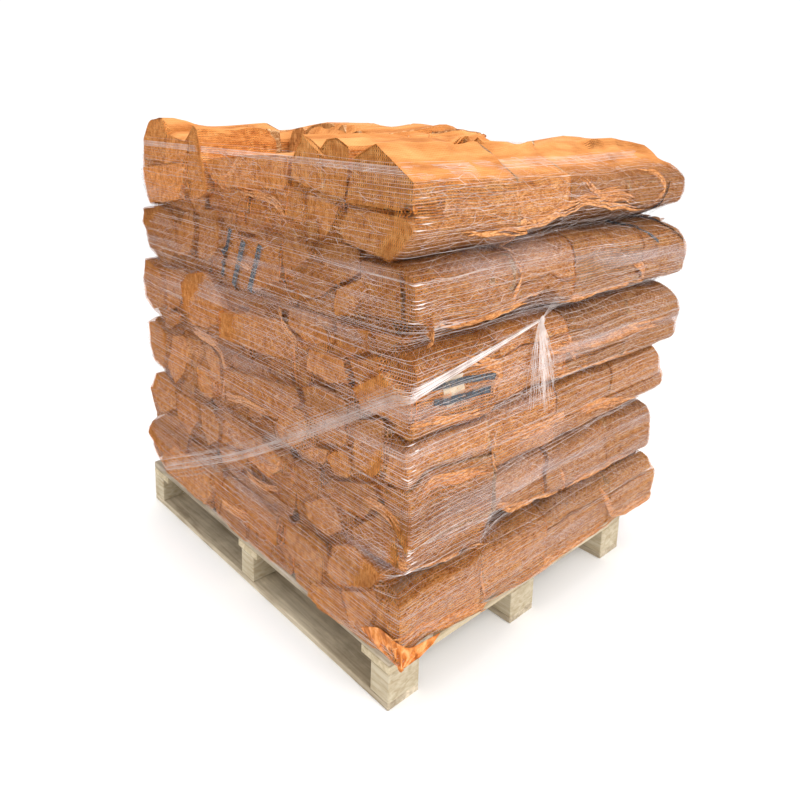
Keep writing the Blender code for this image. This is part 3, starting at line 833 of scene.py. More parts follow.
def level_limits():
    """Bottom and top of every level, from the CAD sacks, and its usual lower front edge."""
    limits = []
    for level in range(1, LEVELS + 1):
        low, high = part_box(f"sack_{level}_front_near")
        limits.append((low[2], high[2], low[2] + (high[2] - low[2]) * FRONT_EDGE_HEIGHT))
    return limits


LIMITS = level_limits()


def front_heights(x, z, back=False):
    """Heights on the front face, moved so that each level's lower edge runs where it was measured."""
    moved = np.array(z, float)
    for level, (bottom, top, usual) in enumerate(LIMITS, 1):
        measured = np.interp(x, *(np.array(FRONT_EDGES[level]).T / 1000))
        edge, goal = (measured, usual) if back else (usual, measured)
        below, above = (z >= bottom) & (z < edge), (z >= edge) & (z < top)
        moved = np.where(below, bottom + (z - bottom) * (goal - bottom) / (edge - bottom), moved)
        moved = np.where(above, top - (top - z) * (top - goal) / (top - edge), moved)
    return moved


def camera_axes():
    """The camera's directions: ahead, to its right and up, before and after it is rolled."""
    forward = Vector((math.sin(CAMERA_YAW) * math.cos(CAMERA_PITCH),
                      math.cos(CAMERA_YAW) * math.cos(CAMERA_PITCH), -math.sin(CAMERA_PITCH)))
    level_right = Vector((math.cos(CAMERA_YAW), -math.sin(CAMERA_YAW), 0.0))
    level_up = level_right.cross(forward)
    right = level_right * math.cos(CAMERA_ROLL) + level_up * math.sin(CAMERA_ROLL)
    up = level_up * math.cos(CAMERA_ROLL) - level_right * math.sin(CAMERA_ROLL)
    return forward, right, up


def photo_pixels(points):
    forward, right, up = (np.array(axis) for axis in camera_axes())
    offset = points - np.array(CAMERA_PLACE)
    depth = offset @ forward
    return (CENTRE_PIXEL[0] + FOCAL_PIXELS * (offset @ right) / depth,
            CENTRE_PIXEL[1] - FOCAL_PIXELS * (offset @ up) / depth)


def ceiling(x, y):
    """Height over each place that the photograph's upper outline passes at."""
    columns, rows = np.array(SKYLINE, float).T
    height = np.full(len(x), 1.29)
    for _ in range(3):
        u, v = photo_pixels(np.stack((x, y, height), axis=1))
        _, above = photo_pixels(np.stack((x, y, height + 0.01), axis=1))
        height = height + 0.01 * (np.interp(u, columns, rows) - v) / (above - v)
    return height


def shaped(points):
    """Points of the stacked sacks, moved to the uneven shape that the photograph shows."""
    x, y, z = points.T
    inner = growth(x, NEAR_END)
    front, back = growth(-y, FRONT_SIDE), growth(y, BACK_SIDE)
    new_z = z + (front_heights(x, z) - z) * front * inner
    dent = 0.5 + 0.5 * waves(points, (3.2, 2.0, 6.5), 3)
    small = 0.5 + 0.5 * waves(points, (9.0, 4.0, 14.0), 8)
    far = growth(x, FAR_END)
    new_y = y + (DENTS[0] * dent + DENTS[1] * small) * (front * inner * (1 - 0.8 * far) - back)
    faces = np.maximum(back, front * inner)
    new_z += SWAY * waves(points, (4.0, 3.0, 3.0), 5) * faces * growth(z, PALLET_TOP)
    up = growth(z, LOAD_TOP) * ease((x + 0.56) / 0.10)
    rise = TOP_ROLL * waves(points, (4.5, 7.0, 0.0), 12)
    for place_x, place_y, long, wide, height in TOP_FORMS:
        along = np.exp(-((x - place_x) / long) ** 2)
        rise += height * along * np.maximum(1.0 - np.abs(y - place_y) / wide, 0.0)
    risen = new_z + rise * up
    limit = np.minimum(TOP_LIMIT, ceiling(x, y) - 0.004)
    over = risen - limit
    held = np.where(over > 0, limit + TOP_HOLD * (1 - np.exp(-over / TOP_HOLD)), risen)
    new_z += (held - new_z) * up
    recess = np.zeros(len(points))
    for level, (bottom, top, _) in enumerate(LIMITS, 1):
        middle, half = (bottom + top) / 2, (top - bottom) / 2
        off = np.clip((z - middle) / half, -1, 1)
        reach = FAR_RECESSES[level] * off * off - FAR_BULGES[level] * (1 - off * off)
        recess = np.where((z >= bottom) & (z < top), reach, recess)
    uneven = 0.5 + 0.5 * waves(points, (2.0, 8.0, 15.0), 17)
    new_x = x - far * (recess + FAR_UNEVENNESS * uneven - 0.002)
    return np.stack((new_x, new_y, new_z), axis=1)


def painted_shade(vertices, faces):
    """Share of brightness that faces keep under painted shade, in the creases between the levels and under
    the sacks.
    """
    joints = np.array([bottom for bottom, _, _ in LIMITS[1:]])
    corners = np.array([face[:3] for face in faces])
    first, second, third = (vertices[corners[:, number]] for number in range(3))
    normal = np.cross(second - first, third - first)
    level = np.abs(normal[:, 2]) / np.maximum(np.linalg.norm(normal, axis=1), 1e-12)
    middle = (first + second + third) / 3
    apart = middle[:, 2:3] - joints
    nearest = np.abs(apart).argmin(axis=1)
    over = apart[np.arange(len(apart)), nearest]
    crease = np.exp(-(over / PAINTED_CREASE_REACH) ** 2)
    under = np.where((over > 0) & (np.abs(middle[:, 1]) > 0.3), level, 0.0)
    return (1.0 - PAINTED_CREASE_SHADE * crease) * (1.0 - PAINTED_UNDER_SHADE * under)


class MeshParts:
    """Vertices, faces and face values of many small meshes, joined into one object."""

    def __init__(self):
        self.vertices = []
        self.faces = []
        self.slots = []
        self.shades = []
        self.uvs = []

    def add(self, vertices, faces, slots, shade=1.0, uvs=None):
        start = len(self.vertices)
        self.vertices.extend(vertices)
        self.faces.extend(tuple(index + start for index in face) for face in faces)
        self.slots.extend(slots if hasattr(slots, "__len__") else [slots] * len(faces))
        self.shades.extend([shade] * len(faces))
        if uvs is not None:
            self.uvs.extend(uvs)

    def build(self, name, materials, smooth=False, shape=True):
        mesh = bpy.data.meshes.new(name)
        vertices = np.array([tuple(v) for v in self.vertices])
        mesh.from_pydata(shaped(vertices).tolist() if shape else vertices.tolist(), [], self.faces)
        for material in materials:
            mesh.materials.append(material)
        mesh.polygons.foreach_set("material_index", self.slots)
        mesh.polygons.foreach_set("use_smooth", [smooth] * len(self.faces))
        shade = mesh.attributes.new("shade", "FLOAT_COLOR", "CORNER")
        values = []
        # Painted shade in the creases and under the sacks darkens each face and makes it redder
        painted_shade_shares = painted_shade(vertices, self.faces) if shape else [1.0] * len(self.faces)
        for face, value, dark in zip(self.faces, self.shades, painted_shade_shares):
            lit = value * dark
            warm = 0.5 + 0.5 * math.sin(value * 97.0)
            values.extend((lit, lit * (0.86 + 0.14 * dark) * (0.93 + 0.10 * warm),
                           lit * (0.82 + 0.18 * dark) * (0.84 + 0.26 * warm), 1.0) * len(face))
        shade.data.foreach_set("color", values)
        if self.uvs:
            layer = mesh.uv_layers.new(name="net")
            layer.data.foreach_set("uv", [number for uv in self.uvs for number in uv])
        mesh.update()
        made = bpy.data.objects.new(name, mesh)
        bpy.context.scene.collection.objects.link(made)
        return made


def log_mesh(parts, polygon, start, end, tilt, shade, rng, stations):
    """One split log along X, with sawn ends that aren't quite square and an uneven surface."""
    outline = roughened(polygon, rng)
    centre = outline.mean(axis=0)
    count = len(outline)
    vertices = []
    taper, seed = rng.uniform(-0.04, 0.04), rng.uniform(0, 90)
    for station in range(stations):
        part = station / (stations - 1)
        scale = 1.0 - abs(taper) * (part if taper > 0 else 1.0 - part)
        for y, z in outline:
            off_y, off_z = y - centre[0], z - centre[1]
            face_start = start + tilt[0] * off_y + tilt[1] * off_z
            face_end = end + tilt[2] * off_y + tilt[3] * off_z
            x = face_start + (face_end - face_start) * part
            dent = noise.noise(Vector((x * 9 + seed, y * 45, z * 45))) * 0.0022 - 0.0008
            size = math.hypot(off_y, off_z) or 1.0
            grown = scale + dent / size
            vertices.append((x, centre[0] + off_y * grown, centre[1] + off_z * grown))
    faces = []
    for station in range(stations - 1):
        for number in range(count):
            after = (number + 1) % count
            low, high = station * count, (station + 1) * count
            faces.append((low + number, high + number, high + after, low + after))
    slots = [0] * len(faces)
    if shade[1]:
        for station in range(stations - 1):
            for number in range(shade[2], shade[2] + 3):
                slots[station * count + number % count] = 2
    faces.append(tuple(range(count)))
    faces.append(tuple(reversed(range((stations - 1) * count, stations * count))))
    slots.extend([1, 1])
    parts.add(vertices, faces, slots, shade[0])


def ray_reach(centre, direction, polygons):
    """Distance from the centre to the outermost edge that a ray meets."""
    best = 0.0
    for polygon in polygons:
        a = polygon - centre
        b = np.roll(a, -1, axis=0)
        edge = b - a
        cross = direction[0] * edge[:, 1] - direction[1] * edge[:, 0]
        cross = np.where(np.abs(cross) < 1e-12, 1e-12, cross)
        along = (a[:, 0] * edge[:, 1] - a[:, 1] * edge[:, 0]) / cross
        place = (a[:, 0] * direction[1] - a[:, 1] * direction[0]) / cross
        hit = (along > 0) & (place >= 0) & (place <= 1)
        if hit.any():
            best = max(best, float(along[hit].max()))
    return best


def crossed(polygon, height):
    """Y of the places where an outline in (y, z) passes a height."""
    y, z = polygon.T
    if not z.min() < height < z.max():
        return y[:0]
    after_y, after_z = np.roll(y, -1), np.roll(z, -1)
    passes = (z - height) * (after_z - height) < 0
    return y[passes] + ((after_y - y) * (height - z))[passes] / (after_z - z)[passes]


def hull_of(points):
    ordered = sorted(map(tuple, points))
    def half(sequence):
        chain = []
        for point in sequence:
            while len(chain) > 1 and ((chain[-1][0] - chain[-2][0]) * (point[1] - chain[-2][1])
                                      - (chain[-1][1] - chain[-2][1]) * (point[0] - chain[-2][0])) <= 0:
                chain.pop()
            chain.append(point)
        return chain
    lower, upper = half(ordered), half(reversed(ordered))
    return np.array(lower[:-1] + upper[:-1])


def hull_reaches(centre, directions, hull):
    """Distance from the centre to a convex outline, along each of many directions."""
    edge = np.roll(hull, -1, axis=0) - hull
    normals = np.stack((edge[:, 1], -edge[:, 0]), axis=1)
    heights = ((hull - centre) * normals).sum(axis=1)
    facing = directions @ normals.T
    reach = np.where(facing > 1e-9, heights / np.where(facing > 1e-9, facing, 1.0), np.inf)
    return reach.min(axis=1)


def skin_radii(centre, polygons, tightness):
    """How far out the net lies round one length of logs, spanning their hollows."""
    angles = [2 * math.pi * number / SKIN_RAYS for number in range(SKIN_RAYS)]
    outer = hull_of(np.concatenate(polygons))
    radii = []
    for angle in angles:
        direction = (math.cos(angle), math.sin(angle))
        near = ray_reach(centre, direction, polygons)
        far = ray_reach(centre, direction, [outer])
        radii.append(near + (far - near) * tightness + NET_SKIN)
    radii = np.array(radii)
    eased = (np.roll(radii, 1) + np.roll(radii, -1)) / 2
    return np.maximum(radii, eased)


def inside(polygon, points, margin):
    """Which of the points are in the convex polygon, or within margin of it."""
    edge = np.roll(polygon, -1, axis=0) - polygon
    y, z = polygon.T
    turned = (y * np.roll(z, -1) - z * np.roll(y, -1)).sum() > 0
    offset = points[..., None, :] - polygon
    side = edge[:, 0] * offset[..., 1] - edge[:, 1] * offset[..., 0]
    lengths = np.maximum(np.linalg.norm(edge, axis=1), 1e-9)
    return ((side if turned else -side) / lengths >= -margin).all(axis=-1)


def cap_depths(centre, radii, logs, sign, rings):
    """X of the net over the logs' ends, on rings from the rim to the middle; sign is -1 at the -X end."""
    angles = np.arange(SKIN_RAYS) * 2 * math.pi / SKIN_RAYS
    shares = 1.0 - np.arange(rings) / rings
    reach = shares[:, None] * (radii - 0.004)[None, :]
    points = np.stack((centre[0] + np.cos(angles) * reach, centre[1] + np.sin(angles) * reach), axis=-1)
    limits = np.full((rings, SKIN_RAYS), -np.inf)
    for polygon, end, tilt in logs:
        middle = polygon.mean(axis=0)
        over = inside(polygon, points, 0.0015)
        x = end + tilt[0] * (points[..., 0] - middle[0]) + tilt[1] * (points[..., 1] - middle[1])
        limits = np.where(over, np.maximum(limits, sign * x), limits)
    known = np.isfinite(limits)
    base = float(limits[known].mean())
    depth = np.where(known, limits, base - 0.020)
    floor = np.where(known, limits, -1e9)
    for _ in range(CAP_EASING):
        smooth = (np.roll(depth, 1, axis=1) + np.roll(depth, -1, axis=1)) / 2
        smooth[1:-1] = (smooth[1:-1] + (depth[:-2] + depth[2:]) / 2) / 2
        depth = np.maximum(smooth, floor)
    return sign * (depth + NET_SKIN)


def skin_mesh(parts, centre, join, radii_pair, caps, stations, seed, shade, easing):
    """The net shell of a sack: rings round the logs along X, and a cap over each end."""
    angles = np.arange(SKIN_RAYS) * 2 * math.pi / SKIN_RAYS
    cosines, sines = np.cos(angles), np.sin(angles)
    rings = []
    low_rim, high_rim = caps[0][0], caps[1][0]
    join_part = (join - low_rim.mean()) / (high_rim.mean() - low_rim.mean())
    usual = np.linspace(0.0, 1.0, stations - 3)
    parts_along = sorted([*usual, *(join_part + easing * step for step in (-2.0, -0.9, 0.9, 2.0))])
    for part in parts_along:
        blend_part = min(max((part - join_part + easing) / (2 * easing), 0.0), 1.0)
        blend_part = blend_part * blend_part * (3 - 2 * blend_part)
        radii = radii_pair[0] * (1 - blend_part) + radii_pair[1] * blend_part
        pinch = 1.0 - 0.012 * math.exp(-((part - join_part) / 0.03) ** 2)
        x = low_rim + (high_rim - low_rim) * part
        ring = []
        for ray in range(SKIN_RAYS):
            y, z = centre[0] + cosines[ray] * radii[ray] * pinch, centre[1] + sines[ray] * radii[ray] * pinch
            crease = noise.noise(Vector((x[ray] * 16 + seed, y * 30, z * 30)))
            out = (TOP_CREASE if z > TOP_CREASE_HEIGHT else CREASE) * max(crease, 0.0)
            ring.append((x[ray], y + cosines[ray] * out, z + sines[ray] * out))
        rings.append(ring)
    vertices = [point for ring in rings for point in ring]
    faces, uvs = [], []
    around = np.concatenate(([0.0], np.cumsum(np.hypot(
        np.diff(np.append(cosines * radii_pair[0], cosines[0] * radii_pair[0][0])),
        np.diff(np.append(sines * radii_pair[0], sines[0] * radii_pair[0][0]))))))
    for station in range(stations):
        for ray in range(SKIN_RAYS):
            after = (ray + 1) % SKIN_RAYS
            low, high = station * SKIN_RAYS, (station + 1) * SKIN_RAYS
            corners = (low + ray, high + ray, high + after, low + after)
            faces.append(corners)
            for corner, column in zip(corners, (ray, ray, ray + 1, ray + 1)):
                uvs.append((around[column], vertices[corner][0]))
    for cap, outer_start, flip in ((caps[0], 0, False), (caps[1], stations * SKIN_RAYS, True)):
        radii = radii_pair[1] if flip else radii_pair[0]
        previous = list(range(outer_start, outer_start + SKIN_RAYS))
        for ring in range(1, len(cap)):
            share = 1.0 - ring / len(cap)
            start = len(vertices)
            for ray in range(SKIN_RAYS):
                reach = (radii[ray] - 0.004) * share
                across = (centre[0] + cosines[ray] * reach, centre[1] + sines[ray] * reach)
                vertices.append((cap[ring][ray], *across))
            current = list(range(start, start + SKIN_RAYS))
            for ray in range(SKIN_RAYS):
                after = (ray + 1) % SKIN_RAYS
                corners = (previous[ray], previous[after], current[after], current[ray])
                faces.append(corners[::-1] if flip else corners)
                uvs.extend((vertices[corner][1], vertices[corner][2]) for corner in faces[-1])
            previous = current
        faces.append(tuple(previous) if not flip else tuple(reversed(previous)))
        uvs.extend((vertices[corner][1], vertices[corner][2]) for corner in faces[-1])
    parts.add(vertices, faces, 0, shade, uvs)


def gathered_rope(parts, path, radius, seed, pleats=3, slot=1):
    """Net bunched into a rope with pleats along it; flat ends closed."""
    count = 8
    vertices, faces = [], []
    path = [Vector(point) for point in path]
    for number, point in enumerate(path):
        ahead = (path[min(number + 1, len(path) - 1)] - path[max(number - 1, 0)]).normalized()
        side = ahead.cross(Vector((0, 0, 1)))
        side = side.normalized() if side.length > 0.1 else Vector((0, 1, 0))
        up = side.cross(ahead)
        end_share = min(1.0, 0.25 + 0.35 * min(number, len(path) - 1 - number))
        for step in range(count):
            angle = 2 * math.pi * step / count
            fold = 0.72 + 0.38 * math.cos(pleats * angle + number * 0.5 + seed)
            rough = 1.0 + 0.5 * noise.noise(point * 55 + Vector((seed, step * 0.7, 0)))
            reach = radius * fold * rough * end_share
            across = side * math.cos(angle) * reach * 0.7 + up * math.sin(angle) * reach
            vertices.append(tuple(point + across))
    for number in range(len(path) - 1):
        for step in range(count):
            after = (step + 1) % count
            low, high = number * count, (number + 1) * count
            faces.append((low + step, low + after, high + after, high + step))
    faces.append(tuple(reversed(range(count))))
    faces.append(tuple(range((len(path) - 1) * count, len(path) * count)))
    uvs = [(0.0, 0.0)] * sum(len(face) for face in faces)
    parts.add(vertices, faces, slot, 1.0, uvs)


# Sacks
def sack_lengths(rng, section, low, high, top, position):
    """The logs of one length of a sack, as (section, start, end, tilt) with tilts at both ends."""
    near_sack, first = position
    start_scatter = END_SCATTER if near_sack and first else JOIN_SCATTER
    end_scatter = END_SCATTER if not near_sack and not first else JOIN_SCATTER
    pieces = split(section, rng, LOG_SECTION)
    if top:
        level_top = section[:, 1].max()
        pieces = [raise_top(polygon, level_top, rng) for polygon in pieces]
    logs = []
    for polygon in pieces:
        start = low + rng.uniform(0.0, start_scatter)
        end = high - rng.uniform(0.0, end_scatter)
        tilt = [rng.uniform(-0.09, 0.09) for _ in range(4)]
        logs.append((polygon, start, end, tilt))
    return logs


def measured_lengths(rng, level, row, start, end):
    """The logs whose ends show on the near face, from their measured outlines."""
    logs = []
    for depth, outline in NEAR_LOGS[level, row]:
        polygon = np.array(outline) / 1000
        centre = polygon.mean(axis=0)
        reach = np.linalg.norm(polygon - centre, axis=1)
        polygon = centre + (polygon - centre) * (1 - LOG_GAP * 0.3 / reach)[:, None]
        tilt = [rng.uniform(-0.10, 0.10) for _ in range(4)]
        logs.append((polygon, start + depth / 1000 + 0.002, end - rng.uniform(0.0, JOIN_SCATTER), tilt))
    return logs


def backing_logs(rng, section, logs, start, end):
    """Logs set further in, where the gaps between the measured ones would show nothing."""
    backing = []
    for polygon in split(section, rng, LOG_SECTION * 0.7):
        centre = polygon.mean(axis=0)
        spread = polygon - centre
        samples = np.concatenate((centre + spread * 0.85, centre + spread * 0.45, [centre]))
        covered = np.zeros(len(samples), bool)
        for other, *_ in logs:
            covered |= inside(other, samples, 0.0)
        if covered.mean() < 0.85 and polygon[:, 1].max() < BACKING_LIMIT:
            depth = BACKING_DEPTH * rng.uniform(0.8, 1.4)
            tilt = [rng.uniform(-0.05, 0.05) for _ in range(4)]
            backing.append((polygon, start + depth, end - rng.uniform(0.01, 0.03), tilt))
    return backing


def make_sack(level, row, column, materials, plan):
    name = f"sack_{level}_{row}_{column}"
    low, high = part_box(name)
    rng = random.Random(level * 1000 + ROWS.index(row) * 100 + COLUMNS.index(column) * 10 + 7)
    seed = rng.uniform(0, 50)
    top = level == LEVELS
    if row == "front":
        join = JOINS[level][COLUMNS.index(column)]
    else:
        join = (low[0] + high[0]) / 2 + rng.uniform(-0.02, 0.02)
    spans = ((low[0], join - 0.001), (join + 0.001, high[0]))
    logs_parts = MeshParts()
    lengths = []
    # The sack's brightness: its own tone with painted shade, and painted light on the top middle and back
    # sacks
    level_shade = SACK_TONES_AND_PAINTED_SHADES[column][level] if row != "middle" else 0.96
    # Painted light on the top middle and back sacks
    if top and row != "front":
        level_shade *= TOP_PAINTED_LIGHT
    for start, end in spans:
        section = sack_section(low, high, row, top, rng)
        measured = column == "near" and not lengths
        if measured:
            logs = measured_lengths(rng, level, row, start, end)
            behind = backing_logs(rng, section, logs, start, end)
        else:
            logs = sack_lengths(rng, section, start, end, top, (column == "near", not lengths))
            behind = []
        lengths.append(logs + behind)
        for number, (polygon, log_start, log_end, tilt) in enumerate(logs + behind):
            # Painted shade: logs set further in keep 0.62 of their brightness, as shade falls in the gaps
            shade = rng.uniform(0.66, 1.12) * level_shade * (0.62 if number >= len(logs) else 1.0)
            bark = rng.random() < (0.05 if measured else 0.14)
            log_mesh(logs_parts, polygon, log_start, log_end, tilt, (shade, bark, rng.randrange(9)), rng,
                     LOG_STATIONS["back" if top and row == "middle" else row])
            plan.append((polygon, log_start, log_end))
    logs_piece = logs_parts.build(name + "_logs", [materials["wood"], materials["end"], materials["bark"]])
    place(logs_piece, "ash_log", name)
    corners = np.concatenate([polygon for logs in lengths for polygon, *_ in logs])
    centre = (corners.min(axis=0) + corners.max(axis=0)) / 2
    radii = []
    for logs in lengths:
        tightness = NEAR_TOP_TIGHTNESS if top and column == "near" and not radii else TIGHTNESS[row]
        radii.append(skin_radii(centre, [log[0] for log in logs], tightness))
    near_logs = [(polygon, log_start, tilt[:2]) for polygon, log_start, _, tilt in lengths[0]]
    far_logs = [(polygon, log_end, tilt[2:]) for polygon, _, log_end, tilt in lengths[1]]
    caps = (cap_depths(centre, radii[0], near_logs, -1, CAP_RINGS["near" if column == "near" else "inner"]),
            cap_depths(centre, radii[1], far_logs, 1, CAP_RINGS["far" if column == "far" else "inner"]))
    stations = SKIN_STATIONS["back" if top and row == "middle" else row]
    net_parts = MeshParts()
    easing = WIDE_EASING if top and row != "front" else USUAL_EASING
    skin_mesh(net_parts, centre, join, radii, caps, stations, seed, level_shade, easing)
    net_piece = net_parts.build(name + "_net", [materials["net"]])
    place(net_piece, "orange_net", name)


def place(piece, slot, *nodes):
    """Ride the load's one body and stand for the nodes named; the slot is not used."""
    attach(piece, "root")
    if nodes:
        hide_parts(*nodes)
    return piece


def outer_y(plan, x, z, sign):
    """Y of the outermost log at a place along the load and a height, on the side that sign gives."""
    best = None
    for polygon, start, end in plan:
        if not start - 0.03 < x < end + 0.03:
            continue
        places = crossed(polygon, z)
        if len(places):
            reach = float((places * sign).max())
            best = reach if best is None else max(best, reach)
    return None if best is None else best * sign


def near_x(plan, y, z):
    """X of the log end that shows on the near face at a place."""
    point = np.array([(y, z)])
    starts = [start for polygon, start, _ in plan if start < -0.45 and inside(polygon, point, 0.006)[0]]
    return min(starts) if starts else None


def smooth_path(points, steps):
    """More points along a path, by Catmull-Rom between those given."""
    ends = [points[0] * 2 - points[1], *points, points[-1] * 2 - points[-2]]
    made = []
    for number in range(1, len(ends) - 2):
        a, b, c, d = ends[number - 1:number + 3]
        for step in range(steps):
            t = step / steps
            made.append((b * 2 + (c - a) * t + (a * 2 - b * 5 + c * 4 - d) * t * t
                         + (b * 3 - a - c * 3 + d) * t ** 3) / 2)
    made.append(points[-1])
    return made


def pleated_band(parts, path, radius, rng):
    """Spare net gathered in pleats side by side along a path, weaving into one another."""
    count = 4 + round(radius * 600)
    for number in range(count):
        phase, weave = rng.uniform(0, 50), rng.uniform(0.6, 1.0)
        offset = (number / (count - 1) - 0.5) * radius * 4.4
        quarter = max(1, len(path) // 4)
        first = rng.randrange(0, quarter)
        last = len(path) - rng.randrange(0, quarter)
        pleat = []
        for point in path[first:last]:
            point = Vector(point)
            sway = noise.noise(Vector((point.x * 22, point.y * 22 + phase, point.z * 22))) * radius * 1.1
            pleat.append(point + Vector((0, 0, offset * weave + sway)))
        if len(pleat) > 3:
            gathered_rope(parts, pleat, radius * rng.uniform(0.38, 0.74), phase, 2, 0)


def make_folds(plan, materials):
    """Folds where spare net is gathered: measured ones on the two seen faces, likely ones elsewhere."""
    rng = random.Random(23)
    front, near, others = MeshParts(), MeshParts(), MeshParts()
    for level, radius, outline in FRONT_FOLDS:
        path, last = [], None
        for point in smooth_path([Vector((x / 1000, 0, max(z, 152) / 1000)) for x, z in outline], 4):
            height = float(front_heights(point.x, point.z, True))
            y = outer_y(plan, point.x, height, -1)
            last = y if y is not None else (last if last is not None else -0.60)
            last = max(last, -0.634)
            jitter = noise.noise(point * 40) * 0.004
            path.append((point.x, last - 0.0015, height + jitter))
        pleated_band(front, path, radius / 1000, rng)
    for radius, outline in NEAR_FOLDS:
        path, last = [], None
        for point in smooth_path([Vector((0, y / 1000, z / 1000)) for y, z in outline], 5):
            x = near_x(plan, point.y, point.z)
            last = x if x is not None else (last if last is not None else -0.56)
            path.append((last - 0.002, point.y, point.z))
        inner = [((a[0] + b[0] + c[0]) / 3, b[1], b[2]) for a, b, c in zip(path, path[1:], path[2:])]
        pleated_band(near, [path[0], *inner, path[-1]], radius / 1000, rng)
    for level in range(1, LEVELS + 1):
        for column in COLUMNS:
            low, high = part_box(f"sack_{level}_back_{column}")
            edge = low[2] + (high[2] - low[2]) * FRONT_EDGE_HEIGHT
            path, last = [], None
            for step in range(41):
                x = low[0] + 0.05 + (high[0] - low[0] - 0.10) * step / 40
                z = edge + noise.noise(Vector((x * 6, level, 3))) * 0.03
                y = outer_y(plan, x, z, 1)
                last = y if y is not None else (last if last is not None else 0.60)
                path.append((x, min(last, 0.636) + 0.0015, z))
            gathered_rope(others, path, 0.0042, rng.uniform(0, 9), 3, 0)
    for parts, name in ((front, "front"), (near, "near"), (others, "back")):
        piece = parts.build("net_folds_" + name, [materials["gathered"]], smooth=True)
        place(piece, "orange_net")


def make_print(plan, materials):
    """Plain dark stripes of worn ink on the nets, and a plain slip of paper behind the front ones."""
    parts = MeshParts()
    front_strokes = (((-0.505, 0.802), (-0.400, 0.790), (-0.300, 0.775)),
                     ((-0.500, 0.768), (-0.400, 0.756), (-0.310, 0.743)),
                     ((0.470, 1.172), (0.458, 1.136), (0.446, 1.100)),
                     ((0.335, 1.064), (0.374, 1.038), (0.412, 1.012)),
                     ((0.505, 1.066), (0.528, 1.030), (0.550, 0.995)))
    for stroke in front_strokes:
        points = []
        for point in smooth_path([Vector((x, 0, z)) for x, z in stroke], 6):
            height = float(front_heights(point.x, point.z, True))
            y = outer_y(plan, point.x, height, -1)
            points.append(Vector((point.x, (y if y is not None else -0.62) - 0.004, height)))
        ribbon(parts, points, 0.013)
    near_strokes = (((0.140, 0.900), (0.110, 0.970), (0.080, 1.040)),
                     ((0.060, 0.880), (0.030, 0.950), (0.000, 1.020)),
                     ((-0.020, 0.880), (-0.050, 0.950), (-0.080, 1.020)))
    for stroke in near_strokes:
        points, last = [], -0.555
        for point in smooth_path([Vector((0, y, z)) for y, z in stroke], 6):
            x = near_x(plan, point.y, point.z)
            last = last if x is None else x
            points.append(Vector((last - 0.003, point.y, point.z)))
        ribbon(parts, points, 0.022)
    place(parts.build("printed_strokes", [materials["print"]]), "print_blue")
    slip = MeshParts()
    corners = ((-0.470, 0.812), (-0.400, 0.806), (-0.392, 0.752), (-0.455, 0.748))
    steps = 6
    vertices, faces = [], []
    for row in range(steps + 1):
        for column in range(steps + 1):
            s, t = column / steps, row / steps
            x, z = ((corners[0][axis] * (1 - s) + corners[1][axis] * s) * (1 - t)
                    + (corners[3][axis] * (1 - s) + corners[2][axis] * s) * t for axis in (0, 1))
            z = float(front_heights(x, z, True))
            y = outer_y(plan, x, z, -1)
            crumple = noise.noise(Vector((x * 60, z * 60, 2))) * 0.0008
            vertices.append((x, (y if y is not None else -0.625) - 0.0022 + crumple, z))
    for row in range(steps):
        for column in range(steps):
            first = row * (steps + 1) + column
            faces.append((first, first + 1, first + steps + 2, first + steps + 1))
    slip.add(vertices, faces, 0)
    place(slip.build("plain_slip", [materials["slip"]], smooth=True), "paper_label")


